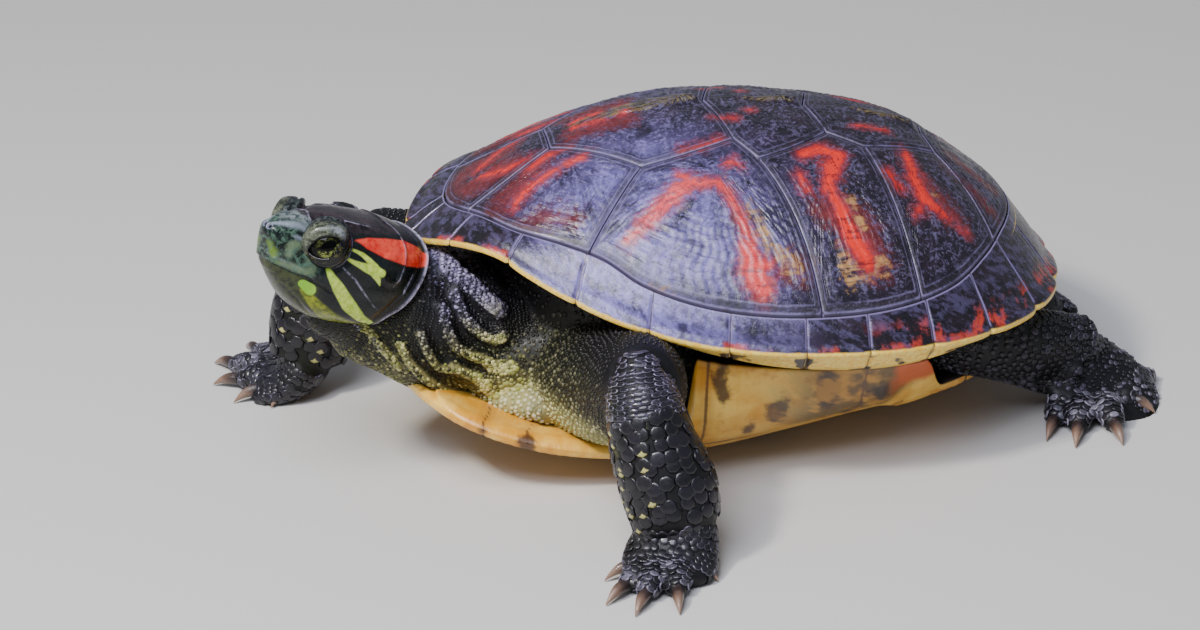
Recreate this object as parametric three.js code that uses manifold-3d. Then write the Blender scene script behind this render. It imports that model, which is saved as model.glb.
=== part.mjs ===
// Red-eared slider turtle, life size, standing with its head raised and turned.
// Millimetres, +Z up, head towards -X, the turtle's left side towards -Y.
import * as THREE from "three";
import Module from "manifold-3d";
const wasm = await Module();
wasm.setup();

// ---------- driving dimensions ----------
const SHELL_L = 150;            // carapace length
const SHELL_HW = 57.5;          // carapace half width
const WIDEST_X = 10;            // station of the widest point
const OUT_P = [1.8, 2.3], OUT_Q = [1.8, 2.25]; // outline exponents, front and rear half
const ARCH_P = 2.11, ARCH_Q = 0.89; // cross section exponents
const SCUTE_T = 3.0;            // scute thickness
const GAP = 0.36;               // clearance between neighbours
const PLATE_T = 3.6;            // plastron thickness
const ROLL = -2.0, PITCH = 4.5, LIFT = 11.0; // stance of the shell over the floor
const SHIFT_X = 10.64, SHIFT_Y = 20.0;       // puts the origin under the middle of the bounding box
const EYE_R = 4.3, EYE_SIDE = 6.35, EYE_FWD = 6.8, EYE_UP = 4.7;
const HEAD_POS = [-90.4, -19.4, 56], HEAD_YAW = 31, HEAD_PITCH = 21, HEAD_ROLL = -4, HEAD_S = 1.07;

// ---------- small tools ----------
const rad = THREE.MathUtils.degToRad;
const V = (x, y, z) => new THREE.Vector3(x, y, z);
const stance = new THREE.Matrix4().makeTranslation(0, 0, LIFT)
  .multiply(new THREE.Matrix4().makeRotationY(rad(PITCH)))
  .multiply(new THREE.Matrix4().makeRotationX(rad(ROLL)));
function knots(xs, ys) {        // smooth curve through knots
  const n = xs.length, m = ys.map((_, i) => i === 0 ? (ys[1] - ys[0]) / (xs[1] - xs[0])
    : i === n - 1 ? (ys[n - 1] - ys[n - 2]) / (xs[n - 1] - xs[n - 2])
    : (ys[i + 1] - ys[i - 1]) / (xs[i + 1] - xs[i - 1]));
  return (x) => {
    if (x <= xs[0]) return ys[0];
    if (x >= xs[n - 1]) return ys[n - 1];
    let i = 0; while (x > xs[i + 1]) i++;
    const h = xs[i + 1] - xs[i], t = (x - xs[i]) / h;
    return ys[i] * (1 + 2 * t) * (1 - t) ** 2 + h * m[i] * t * (1 - t) ** 2
      + ys[i + 1] * t * t * (3 - 2 * t) + h * m[i + 1] * t * t * (t - 1);
  };
}
function volume(m) {
  let v = 0;
  for (const [a, b, c] of m.F) v += m.P[a].dot(V().crossVectors(m.P[b], m.P[c]));
  return v / 6;
}
const outward = (m) => volume(m) < 0 ? { P: m.P, F: m.F.map(([a, b, c]) => [a, c, b]) } : m;
const mid = (ring) => ring.reduce((s, p) => s.add(p), V(0, 0, 0)).multiplyScalar(1 / ring.length);
// closed body through rings of equal count; grow swells it by g
function loft(rings, g = 0, tipA = null, tipB = null) {
  let R = rings.map((r) => r.map((p) => p.clone()));
  if (g) {
    R = R.map((r) => { const c = mid(r); return r.map((p) => { const d = p.clone().sub(c); return p.clone().add(d.normalize().multiplyScalar(g)); }); });
    const n = R.length, a = mid(R[0]).sub(mid(R[1])).normalize().multiplyScalar(g), b = mid(R[n - 1]).sub(mid(R[n - 2])).normalize().multiplyScalar(g);
    R[0].forEach((p) => p.add(a)); R[n - 1].forEach((p) => p.add(b));
    if (tipA) tipA = tipA.clone().add(a); if (tipB) tipB = tipB.clone().add(b);
  }
  const N = R[0].length, P = [], F = [];
  R.forEach((r) => P.push(...r));
  for (let i = 0; i + 1 < R.length; i++) for (let j = 0; j < N; j++) {
    const a = i * N + j, b = i * N + (j + 1) % N, c = a + N, d = b + N;
    if ((i + j) % 2) F.push([a, b, d], [a, d, c]); else F.push([a, b, c], [b, d, c]);
  }
  const A = P.push(tipA ?? mid(R[0])) - 1, B = P.push(tipB ?? mid(R[R.length - 1])) - 1, o = (R.length - 1) * N;
  for (let j = 0; j < N; j++) { F.push([A, (j + 1) % N, j]); F.push([B, o + j, o + (j + 1) % N]); }
  return outward({ P, F });
}
// body pushed outwards along its vertex normals
function swell(m, g) {
  const N = m.P.map(() => V(0, 0, 0));
  for (const [a, b, c] of m.F) {
    const n = m.P[b].clone().sub(m.P[a]).cross(m.P[c].clone().sub(m.P[a]));
    for (const i of [a, b, c]) N[i].add(n);
  }
  return { P: m.P.map((p, i) => p.clone().addScaledVector(N[i].normalize(), g * 1.2)), F: m.F };
}
const solid = (m) => new wasm.Manifold(new wasm.Mesh({ numProp: 3,
  vertProperties: new Float32Array(m.P.flatMap((p) => [p.x, p.y, p.z])), triVerts: new Uint32Array(m.F.flat()) }));
function mesh(man) {
  const k = man.asOriginal().simplify(0.07).getMesh(), P = [], F = [];
  for (let i = 0; i < k.vertProperties.length; i += k.numProp) P.push(V(k.vertProperties[i], k.vertProperties[i + 1], k.vertProperties[i + 2]));
  for (let i = 0; i < k.triVerts.length; i += 3) F.push([k.triVerts[i], k.triVerts[i + 1], k.triVerts[i + 2]]);
  return { P, F };
}
const placed = (m, M = stance) => outward({ P: m.P.map((p) => p.clone().applyMatrix4(M)), F: m.F });
const biggest = (man) => { const parts = man.decompose(); return parts.reduce((a, b) => (b.volume() > a.volume() ? b : a)); };

const group = new THREE.Group();
group.name = "red_eared_slider";
function node(name, m, color) {
  const geo = new THREE.BufferGeometry();
  geo.setAttribute("position", new THREE.Float32BufferAttribute(m.P.flatMap((p) => [p.x + SHIFT_X, p.y + SHIFT_Y, p.z]), 3));
  geo.setIndex(m.F.flat());
  geo.computeVertexNormals();
  const part = new THREE.Mesh(geo, new THREE.MeshStandardMaterial({ color }));
  part.name = name;
  group.add(part);
}
const SKIN = 0x3b3f35, SCUTE = 0x2e2530, RIM = 0x4a3540, BELLY = 0xd9a850, CLAW = 0x8a7568, EYE = 0x8a8f4a;

// ---------- carapace ----------
const HL = SHELL_L / 2;
const halfw = (x) => {
  const k = x < WIDEST_X ? 0 : 1, t = Math.min(1, k ? (x - WIDEST_X) / (HL - WIDEST_X) : (WIDEST_X - x) / (WIDEST_X + HL));
  return SHELL_HW * Math.max(1e-9, 1 - t ** OUT_P[k]) ** (1 / OUT_Q[k]);
};
const rimz = knots([-75, -70, -64.5, -58, -52, -45, -37, -29, -12, 15, 45, 75], [35.5, 38.6, 40.6, 40.6, 37.8, 34.6, 31.5, 29, 25.6, 24, 23.6, 23.8]);
const topz = knots([-75, -60, -40, -15, 12, 38, 60, 75], [36, 46, 56.8, 62.8, 61.8, 56, 41.5, 28]);
const dome = (x, y) => {
  const s = Math.min(1, Math.abs(y) / halfw(x));
  return rimz(x) + (Math.max(topz(x), rimz(x)) - rimz(x)) * Math.max(0, 1 - s ** ARCH_P) ** ARCH_Q;
};
// outline by angle, then by arc length, left side
const ARC_N = 600, arc = [];
for (let i = 0; i <= ARC_N; i++) {
  const u = Math.cos(Math.PI * i / ARC_N);
  const x = u > 0 ? WIDEST_X - (WIDEST_X + HL) * u ** 0.95 : WIDEST_X + (HL - WIDEST_X) * (-u) ** 0.95;
  const y = i === 0 || i === ARC_N ? 0 : -halfw(x);
  const p = arc[i - 1];
  arc.push({ x, y, s: p ? p.s + Math.hypot(x - p.x, y - p.y) : 0 });
}
const ARC_L = arc[ARC_N].s;
function rim(f) {                // point and inward normal at fraction f of the left outline
  const s = Math.min(1, Math.max(0, f)) * ARC_L;
  let i = 0; while (i < ARC_N - 1 && arc[i + 1].s < s) i++;
  const a = arc[i], b = arc[i + 1], t = (s - a.s) / (b.s - a.s), lo = arc[Math.max(0, i - 4)], hi = arc[Math.min(ARC_N, i + 5)];
  let nx = -(hi.y - lo.y), ny = hi.x - lo.x; const l = Math.hypot(nx, ny); nx /= l; ny /= l;
  if (f < 0.004) { nx = 1; ny = 0; } if (f > 0.996) { nx = -1; ny = 0; }
  return { x: a.x + (b.x - a.x) * t, y: a.y + (b.y - a.y) * t, nx, ny };
}
const SEAM_LEN = [4.1, 20.5, 19.4, 18.8, 19, 19.8, 19, 16, 17, 17.8, 20.4, 20.9, 20.2];
const seamSum = SEAM_LEN.reduce((a, b) => a + b, 0);
const seams = []; SEAM_LEN.reduce((a, b) => { seams.push((a + b) / seamSum); return a + b; }, 0);
const margW = knots([0, 0.1, 0.17, 0.24, 0.29, 0.34, 0.42, 0.52, 0.62, 0.7, 0.78, 0.86, 1], [9.5, 8.6, 7, 7.4, 7.2, 5.2, 4.3, 4.4, 5.3, 7.2, 10.6, 12.6, 12]);
const underW = knots([0, 0.25, 0.38, 0.5, 0.68, 0.8, 1], [9.5, 9.5, 8, 6.4, 6.4, 9, 10]);
const underZ = knots([0, 0.25, 0.38, 0.5, 0.66, 0.78, 1], [1.2, 0.5, -3.5, -6, -6, -1, 0.6]);
const inner = (f, extra = 0) => { const r = rim(f), w = margW(f) + extra; return { x: r.x + r.nx * w, y: Math.min(0, r.y + r.ny * w) }; };
function marginSection(f, side, notch) {
  const r = rim(f), w = margW(f) - GAP, wu = underW(f), zr = rimz(r.x), zi = dome(...Object.values(inner(f)));
  const at = (u, z) => V(r.x + r.nx * u, side * -1 * Math.min(-0.0, r.y + r.ny * u), z);
  const h = zi - zr;
  return [at(notch, zr + 0.15), at(w * 0.45, zr + h * 0.36 + 0.3), at(w, zi - 0.2), at(w + 0.1, zi - SCUTE_T),
    at(wu, zr + underZ(f)), at(wu * 0.5, zr + underZ(f) * 0.5 - 1.1), at(notch + 0.3, zr - 1.5)];
}
// arc fraction where the inner edge of the marginals reaches station x
function atX(x) { let lo = 0, hi = 1; for (let k = 0; k < 40; k++) { const m = (lo + hi) / 2; inner(m).x < x ? (lo = m) : (hi = m); } return (lo + hi) / 2; }

function marginRow(side, g = 0) {
  const rings = [];
  for (let k = 0; k < 12; k++) {
    const a = seams[k], b = seams[k + 1], last = k === 11, serr = 0.5 + 1.1 * Math.max(0, (a - 0.55) / 0.45);
    rings.push(marginSection(a + (k ? 0 : 0.0022), side, serr));
    rings.push(marginSection(a + (b - a) * 0.25, side, 0));
    rings.push(marginSection(a + (b - a) * 0.72, side, 0));
    if (last) rings.push(marginSection(1, side, serr).map((p) => p.setY(p.y + side * GAP * 0.5)));
  }
  return loft(rings, g);
}
function nuchalBody(g = 0) {
  const f = seams[0], rings = [];
  for (const [s, ff] of [[-1, f - 0.0022], [-1, f * 0.5], [1, 0], [1, f * 0.5], [1, f - 0.0022]]) rings.push(marginSection(ff, -s, 0.4).map((p) => (ff === 0 ? p.setY(0) : p)));
  return loft(rings, g);
}
// scutes of the dome: corners in plan, left side; edges on the marginal line follow it
const C = {                       // shared corners, x then y
  n: [-64.9, 0], v1m: [-61.6, -19.7], v12: [-42.6, -6.2], v2a: [-24.3, -22.3], v23: [-3, -17.5], v3a: [1.6, -23.6],
  v34: [18.7, -13.4], v4a: [26.8, -17], v45: [44.5, -9], v5m: [54, -25], e: [62.9, 0],
};
const M12 = -37.7, M23 = 11.5, M34 = 34.3;
const onLine = (x0, x1, n) => Array.from({ length: n }, (_, i) => { const f = atX(x0 + (x1 - x0) * i / n); const p = inner(f); return [p.x, p.y]; });
C.v1m = Object.values(inner(atX(-61.6))); C.v5m = Object.values(inner(atX(54.5)));
const mir = ([x, y]) => [x, -y];
function edge(a, b, n, sag = 0) {
  return Array.from({ length: n }, (_, i) => {
    const t = i / n, k = sag * 4 * t * (1 - t), dx = b[0] - a[0], dy = b[1] - a[1];
    return [a[0] + dx * t - dy * k, a[1] + dy * t + dx * k];
  });
}
function scute(points, bulge = 0.5) {
  const c = points.reduce((s, p) => [s[0] + p[0] / points.length, s[1] + p[1] / points.length], [0, 0]), n = points.length;
  const inset = (d) => points.map((p, i) => {
    const q = points[(i + 1) % n], o = points[(i + n - 1) % n];
    let nx = -(q[1] - o[1]), ny = q[0] - o[0]; const l = Math.hypot(nx, ny);
    const sgn = (c[0] - p[0]) * nx + (c[1] - p[1]) * ny > 0 ? 1 : -1;
    return [p[0] + sgn * nx / l * d, p[1] + sgn * ny / l * d];
  });
  const lerp = (r, f) => r.map((p) => [c[0] + (p[0] - c[0]) * f, c[1] + (p[1] - c[1]) * f]);
  const e = inset(GAP / 2 + 0.02), P = [], F = [], add = (ring, fz) => ring.map(([x, y]) => P.push(V(x, y, fz(x, y))) - 1);
  const bot = add(inset(GAP / 2 + 0.15), (x, y) => dome(x, y) - SCUTE_T), rim0 = add(e, (x, y) => dome(x, y) - 0.35), r1 = add(lerp(e, 0.86), (x, y) => dome(x, y) + bulge * 0.6), r2 = add(lerp(e, 0.45), (x, y) => dome(x, y) + bulge);
  const top = P.push(V(c[0], c[1], dome(c[0], c[1]) + bulge)) - 1, low = P.push(V(c[0], c[1], dome(c[0], c[1]) - SCUTE_T - 0.6)) - 1;
  const band = (A, B) => { for (let i = 0; i < n; i++) { const j = (i + 1) % n; F.push([A[i], A[j], B[i]], [A[j], B[j], B[i]]); } };
  band(bot, rim0); band(rim0, r1); band(r1, r2);
  for (let i = 0; i < n; i++) { const j = (i + 1) % n; F.push([r2[i], r2[j], top], [bot[j], bot[i], low]); }
  return outward({ P, F });
}
const both = (half) => [...half, ...half.slice(1, -1).reverse().map(mir)]; // half outline from keel to keel, mirrored
const V1 = both([...edge(C.n, C.v1m, 2), ...edge(C.v1m, C.v12, 3, 0.08), C.v12, [-42.6, 0]]);
const V2 = both([[-42.6, 0], ...edge(C.v12, C.v2a, 2), ...edge(C.v2a, C.v23, 3, -0.05), C.v23, [-7.2, 0]]);
const V3 = both([[-7.2, 0], ...edge(C.v23, C.v3a, 1), ...edge(C.v3a, C.v34, 3, -0.05), C.v34, [15.8, 0]]);
const V4 = both([[15.8, 0], ...edge(C.v34, C.v4a, 2), ...edge(C.v4a, C.v45, 3, -0.04), C.v45, [43.2, 0]]);
const V5 = both([[43.2, 0], ...edge(C.v45, C.v5m, 2, 0.05), ...onLine(54.5, 62.5, 3), C.e]);
[V1, V2, V3, V4, V5].forEach((p, i) => node(`vertebral_${i + 1}`, placed(scute(p)), SCUTE));
const P1 = [...edge(C.v12, C.v2a, 3), ...edge(C.v2a, [inner(atX(M12)).x, inner(atX(M12)).y], 4), ...onLine(M12, -61.6, 6), ...edge(C.v1m, C.v12, 3, 0.08)];
const P2 = [...edge(C.v2a, C.v23, 3, -0.05), ...edge(C.v23, C.v3a, 1), ...edge(C.v3a, [inner(atX(M23)).x, inner(atX(M23)).y], 4, 0.05), ...onLine(M23, M12, 6), ...edge([inner(atX(M12)).x, inner(atX(M12)).y], C.v2a, 4)];
const P3 = [...edge(C.v3a, C.v34, 3, -0.05), ...edge(C.v34, C.v4a, 2), ...edge(C.v4a, [inner(atX(M34)).x, inner(atX(M34)).y], 4, 0.02), ...onLine(M34, M23, 3), ...edge([inner(atX(M23)).x, inner(atX(M23)).y], C.v3a, 4, -0.05)];
const P4 = [...edge(C.v4a, C.v45, 3, -0.04), ...edge(C.v45, C.v5m, 2, 0.05), ...onLine(54.5, M34, 4), ...edge([inner(atX(M34)).x, inner(atX(M34)).y], C.v4a, 4, -0.02)];
[P1, P2, P3, P4].forEach((p, i) => {
  node(`pleural_left_${i + 1}`, placed(scute(p)), SCUTE);
  node(`pleural_right_${i + 1}`, placed(scute(p.map(mir))), SCUTE);
});
node("nuchal", placed(nuchalBody()), RIM);
node("marginals_left", placed(marginRow(-1)), RIM);
node("marginals_right", placed(marginRow(1)), RIM);

// ---------- plastron with its bridges ----------
const lowZ = knots([-76, -68, -56, -44, -30, -12, 8, 27, 44, 62], [3, 0.4, -3.6, -6.2, -7.4, -6.6, -3.4, 0, 2.6, 6]);
const lobeW = knots([-76, -73, -66, -54, -40, -20, 0, 20, 40, 52, 60, 62], [15, 22, 31, 35.5, 37.5, 38, 37, 35, 32, 27, 17, 12]);
const BRIDGE = [-15, 33];
function plastronBody() {
  const xs = [-76, -73, -66, -54, -42, -28, BRIDGE[0] - 2.5, BRIDGE[0], -4, 8, 20, BRIDGE[1], BRIDGE[1] + 2.5, 44, 52, 60, 62];
  return loft(xs.map((x) => {
    const w = lobeW(x), zb = lowZ(x), t = PLATE_T * (x < -70 || x > 58 ? 0.8 : 1), on = x >= BRIDGE[0] && x <= BRIDGE[1];
    const W = on ? halfw(x) - 7.2 : w + 0.8, Z = on ? rimz(x) - 7.2 : zb + 1.2, k = on ? 0.45 : 0.5;
    const outer = [[W, Z + (on ? 0.4 : 0.6)], [w + (W - w) * k + (on ? 1.2 : 0), zb + (Z - zb) * k - (on ? 1.6 : 0.3)], [w - 1.5, zb + 0.2], [w * 0.5, zb - 0.2]];
    const top = on ? [[W - 3.6, Z + 0.2], [w + (W - w) * 0.45 - 2.6, zb + (Z - zb) * 0.45 + 2.0], [w - 3.6, zb + t + 0.6], [w * 0.5, zb + t]]
      : [[w, zb + t * 0.75], [w - 1.6, zb + t * 0.95], [w - 4, zb + t], [w * 0.5, zb + t]];
    const L = outer.map(([y, z]) => V(x, -y, z)), U = top.map(([y, z]) => V(x, -y, z));
    return [...L, V(x, 0, zb - 0.2), ...L.slice().reverse().map((p) => V(p.x, -p.y, p.z)),
      ...U.map((p) => V(p.x, -p.y, p.z)), V(x, 0, zb + t), ...U.slice().reverse()];
  }));
}
node("plastron", placed(plastronBody()), BELLY);

// ---------- trunk inside the shell ----------
function trunkBody(g = 0) {
  const N = 24, ring = (f, fz) => Array.from({ length: N }, (_, i) => {
    const a = i / N, left = a <= 0.5, q = left ? a * 2 : (1 - a) * 2, r = rim(q);
    const ins = knots([0, 0.1, 0.2, 0.3, 0.42, 0.6, 0.8, 1], [18, 17.5, 16.5, 13, 10, 9, 11.5, 14])(q) - g;
    let x = r.x + r.nx * ins, y = r.y + r.ny * ins; if (y > 0) y = 0;
    x = -4 + (x + 4) * f; y = (left ? 1 : -1) * y * f;
    return V(x, y, fz(x, y, q));
  });
  const floorZ = (x) => lowZ(x) + PLATE_T + GAP + 0.4 - g;
  const side = knots([0, 0.2, 0.36, 0.5, 0.68, 0.8, 1], [12, 8, 13, 17, 17, 11, 12]);
  return loft([
    ring(0.35, (x) => floorZ(x)), ring(0.66, (x) => floorZ(x) + 0.4), ring(0.86, (x, y, q) => side(q) - 2.6 - g), ring(1, (x, y, q) => side(q) + 2.4),
    ring(1, (x, y, q) => Math.min(dome(x, y) - SCUTE_T - 2.2, rimz(x) + 4) - 1 + g), ring(0.86, (x, y) => dome(x, y) - SCUTE_T - 2.4 + g), ring(0.62, (x, y) => dome(x, y) - SCUTE_T - 2.2 + g), ring(0.32, (x, y) => dome(x, y) - SCUTE_T - 1.8 + g),
  ], 0);
}

// ---------- head ----------
const headM = (() => {
  const y = rad(HEAD_YAW), p = rad(HEAD_PITCH), r = rad(HEAD_ROLL);
  const f = V(-Math.cos(y) * Math.cos(p), -Math.sin(y) * Math.cos(p), Math.sin(p)), l0 = V(Math.sin(y), -Math.cos(y), 0), u0 = V().crossVectors(f, l0);
  const l = l0.clone().multiplyScalar(Math.cos(r)).add(u0.clone().multiplyScalar(Math.sin(r))), u = u0.clone().multiplyScalar(Math.cos(r)).sub(l0.clone().multiplyScalar(Math.sin(r)));
  return new THREE.Matrix4().makeBasis(f, l, u).setPosition(...HEAD_POS).scale(V(HEAD_S, HEAD_S, HEAD_S));
})();
// head stations along its axis: half width, crown, throat
const hs = [-17.5, -14, -10, -5, 0, 4, 7.5, 10.5, 13, 15, 16.2, 17.2, 17.8];
const hw = knots(hs, [11.2, 12.2, 12.6, 12.2, 11.2, 10.2, 9.0, 7.3, 5.6, 4.4, 3.6, 2.6, 1.3]);
const hu = knots(hs, [7.6, 8.8, 9.6, 10.1, 10.4, 10.3, 9.8, 9.1, 8.3, 7.8, 7.4, 6.9, 6.2]);
const hd = knots(hs, [-10.4, -11.2, -11.8, -12, -11.7, -10.9, -9.8, -8.2, -6.1, -3.9, -2.3, 2.0, 4.2]);
function headBody(g = 0) {
  const N = 16;
  return loft(hs.map((a) => Array.from({ length: N }, (_, i) => {
    const t = 2 * Math.PI * (i + 0.5) / N, c = Math.cos(t), s = Math.sin(t), e = a > 14 ? 0.8 : 0.86;
    const w = hw(a) + g, up = hu(a) + g, dn = hd(a) - g, m = (up + dn) / 2 + 0.3;
    return V(a + (a > 19 ? g : a < -18 ? -g : 0), w * Math.sign(c) * Math.abs(c) ** e, s > 0 ? m + (up - m) * s ** e : m + (m - dn) * -1 * (-s) ** e);
  })), 0);
}
// prism across the head from an outline in its side plane
const prism = (pts, hwid) => loft([pts.map(([a, c]) => V(a, -hwid, c)), pts.map(([a, c]) => V(a, hwid, c))]);
const MOUTH_A = [-7, -3, 1, 5, 7.7, 9.9, 12.2, 13.8, 15.7, 18];
const mouth = knots(MOUTH_A, [-6.6, -5.9, -5.1, -4.2, -3.3, -2.4, -2.2, -1.8, -1.4, -0.9]);
const below = (d) => [[-7 - 0 * d, -30], ...[...MOUTH_A, 26].map((a) => [a, mouth(a) - d]), [26, -30]];
const full = solid(headBody());
const jawMan = full.intersect(solid(prism(below(GAP), 20)));
const gapCut = solid(prism(below(0).map(([a, c], i) => [i === 0 || i === 1 ? a - GAP : a, c]), 21));
const eyeAt = (s, r) => {
  const k = new THREE.IcosahedronGeometry(r, 2), P = [], F = [], seen = new Map(), pos = k.getAttribute("position");
  for (let i = 0; i < pos.count; i++) {
    const key = [pos.getX(i), pos.getY(i), pos.getZ(i)].map((q) => q.toFixed(3)).join();
    if (!seen.has(key)) seen.set(key, P.push(V(EYE_FWD + pos.getX(i), s * EYE_SIDE + pos.getY(i), EYE_UP + pos.getZ(i))) - 1);
    if (i % 3 === 2) F.push([i - 2, i - 1, i].map((j) => seen.get([pos.getX(j), pos.getY(j), pos.getZ(j)].map((q) => q.toFixed(3)).join())));
  }
  return outward({ P, F });
};
let headMan = full.subtract(gapCut).subtract(solid(eyeAt(1, EYE_R + GAP))).subtract(solid(eyeAt(-1, EYE_R + GAP)));
node("head", placed(mesh(biggest(headMan)), headM), SKIN);
node("lower_jaw", placed(mesh(biggest(jawMan)), headM), SKIN);
node("eye_left", placed(eyeAt(1, EYE_R), headM), EYE);
node("eye_right", placed(eyeAt(-1, EYE_R), headM), EYE);

// ---------- limbs ----------
// tube along smoothed points: [x, y, z, half width, half thickness], flat side facing "up"
function tube(pts, count, N, up, g = 0, e = 1) {
  const path = new THREE.CatmullRomCurve3(pts.map((p) => V(p[0], p[1], p[2])), false, "centripetal");
  const rings = [];
  for (let k = 0; k <= count; k++) {
    const u = k / count, q = u * (pts.length - 1), i = Math.min(pts.length - 2, Math.floor(q)), t = q - i, o = path.getPoint(u), d = path.getTangent(u).normalize();
    const ww = THREE.MathUtils.lerp(pts[i][3], pts[i + 1][3], t), tt = THREE.MathUtils.lerp(pts[i][4], pts[i + 1][4], t);
    const s = V().crossVectors(d, up).normalize(), n = V().crossVectors(s, d).normalize();
    rings.push(Array.from({ length: N }, (_, j) => {
      const a = 2 * Math.PI * j / N, c = Math.cos(a), z = Math.sin(a);
      return o.clone().add(s.clone().multiplyScalar(ww * Math.sign(c) * Math.abs(c) ** e)).add(n.clone().multiplyScalar(tt * Math.sign(z) * Math.abs(z) ** e));
    }));
  }
  return loft(rings, g);
}
const Z = V(0, 0, 1), Y = V(0, 1, 0);
// neck
const neckPts = [[-93, -19, 44, 7, 6.5], [-85.8, -14.4, 42.6, 11, 12], [-78.8, -11.2, 38.2, 13, 13.4], [-71, -9.5, 35, 14.6, 16], [-61, -5, 30, 17.6, 16.8], [-48, -2, 27.5, 17, 13.5]];
// soft skin of the neck pocket, carried round from the neck to each shoulder
const pocket = (g = 0) => [[-1, 0], [1, 2]].map(([side, out]) => solid(tube([[-60, side * (14 + out), 22, 8, 7], [-50.5, side * (15 + out), 24, 8.5, 8], [-40.5, side * (16 + out), 26, 9, 9], [-32.5, side * 14, 30, 8, 8]], 4, 12, Z, g)));
const trunkG = pocket(GAP).reduce((s, p) => s.add(p), solid(placed(trunkBody(GAP))));
const plastronG = solid(placed(swell(plastronBody(), GAP)));
node("trunk", mesh(biggest(pocket().reduce((s, p) => s.add(p), solid(placed(trunkBody()))).subtract(plastronG))), SKIN);
const neckG = solid(tube(neckPts, 6, 14, Z, GAP, 0.95));
const rowG = { L: solid(placed(marginRow(-1, GAP))), R: solid(placed(marginRow(1, GAP))) };
const nuchalG = solid(placed(nuchalBody(GAP)));
const headG = solid(placed(headBody(GAP), headM));

node("neck", mesh(biggest(solid(tube(neckPts, 6, 14, Z, 0, 0.95)).subtract(headG).subtract(trunkG).subtract(plastronG).subtract(rowG.L).subtract(nuchalG))), SKIN);

// claw: root, tip, root half width
function claw(a, b, w, g = 0) {
  const A = V(...a), B = V(...b), d = B.clone().sub(A), s = V().crossVectors(d, Z).normalize(), n = V().crossVectors(s, d).normalize(), rings = [];
  for (const [t, k, lift] of [[0, 1, 0], [0.34, 0.86, 0.09], [0.7, 0.5, 0.08]]) {
    const o = A.clone().addScaledVector(d, t).addScaledVector(n, lift * d.length());
    rings.push(Array.from({ length: 6 }, (_, j) => { const q = Math.PI * j / 3; return o.clone().addScaledVector(s, w * k * Math.cos(q)).addScaledVector(n, w * 1.15 * k * Math.sin(q)); }));
  }
  const tip = B.clone(); return loft(rings, g, null, tip);
}
// one foot: pad, digits as [root, knuckle, end, claw tip or null, half width]
function foot(prefix, pad, padUp, digits, cutters) {
  let man = solid(tube(pad, 4, 10, padUp, 0, 0.95));
  const claws = [];
  digits.forEach(([a, b, c, tip, w], i) => {
    man = man.add(solid(tube([[...a, w * 1.15, w], [...b, w * 1.08, w], [...c, w * 0.8, w * 0.72]], 2, 6, Z)));
    if (tip) claws.push([i, c, tip, w]);
  });
  for (const [i, c, tip, w] of claws) {
    const A = V(...c), B = V(...tip), at = A.add(B.clone().sub(A).setZ(0).normalize().multiplyScalar(0.5));
    man = man.subtract(solid(claw([at.x, at.y, at.z], tip, w * 0.52, GAP)));
    node(`${prefix}_claw_${i + 1}`, claw([at.x, at.y, at.z], tip, w * 0.52), CLAW);
  }
  for (const k of cutters) man = man.subtract(k);
  man = biggest(man.trimByPlane([0, 0, 1], 0));
  node(prefix, mesh(man), SKIN);
}
// digit helper: root, claw tip; middle joints placed between, raised
const digit = (root, tip, w, clawL = 7.5, rise = 1.4, hasClaw = true) => {
  const A = V(...root), B = V(...tip), d = B.clone().sub(A), L = d.length(), e = A.clone().addScaledVector(d, (L - (hasClaw ? clawL : 0)) / L), k = A.clone().lerp(e, 0.55);
  const low = w * 0.72 - 0.25; e.z = Math.max(low, e.z + 0.4); k.z = Math.max(k.z, w) + rise * 0.5;
  return [[...root], [k.x, k.y, k.z], [e.x, e.y, hasClaw ? e.z : low], hasClaw ? tip : null, w];
};
// left foreleg
const LF = { sh: [-33, -30, 20], el: [-27, -61, 37], wr: [-25.2, -76.5, 7.5] };
const lfUpper = [[-36, -20, 20, 13, 13], [-31, -34, 24, 13, 13.5], [-27.5, -50, 31, 11, 12], [-27, -59, 34, 9, 10]];
const lfFore = [[-28.3, -62.5, 40.5, 4.6, 5], [-28.2, -65, 35.5, 7.6, 8], [-27, -69, 26, 9.2, 9], [-24.6, -73, 17, 10.3, 8.8], [-23.8, -76.5, 9.6, 9.2, 7]];
const lfPad = [[-23.9, -76, 9.2, 8.8, 6], [-24.8, -78.5, 5.6, 9.4, 5.2], [-26.6, -82.5, 3.6, 10.2, 3.6], [-27.8, -86, 2.7, 9, 2.8]];
const lfDig = [digit([-29.5, -78.5, 3.4], [-40.8, -81, 0.3], 2.5), digit([-30, -81, 3.4], [-42, -92, 0.3], 2.7), digit([-28.5, -83, 3.4], [-36.6, -98.4, 0.3], 2.7), digit([-25.5, -83, 3.4], [-27.3, -100, 0.3], 2.7), digit([-22, -80.5, 3.4], [-17, -87.5, 0.3], 2.5)];
const elbowG = (pts, g = GAP) => solid(tube(pts, 6, 12, Y, g));
node("upper_arm_left", mesh(biggest(solid(tube(lfUpper, 4, 12, Z)).subtract(trunkG).subtract(neckG).subtract(plastronG).subtract(rowG.L).subtract(elbowG(lfFore)))), SKIN);
foot("hand_left", lfPad, V(0, -0.5, 1), lfDig, [elbowG(lfFore)]);
node("forearm_left", mesh(solid(tube(lfFore, 6, 12, Y))), SKIN);
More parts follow.
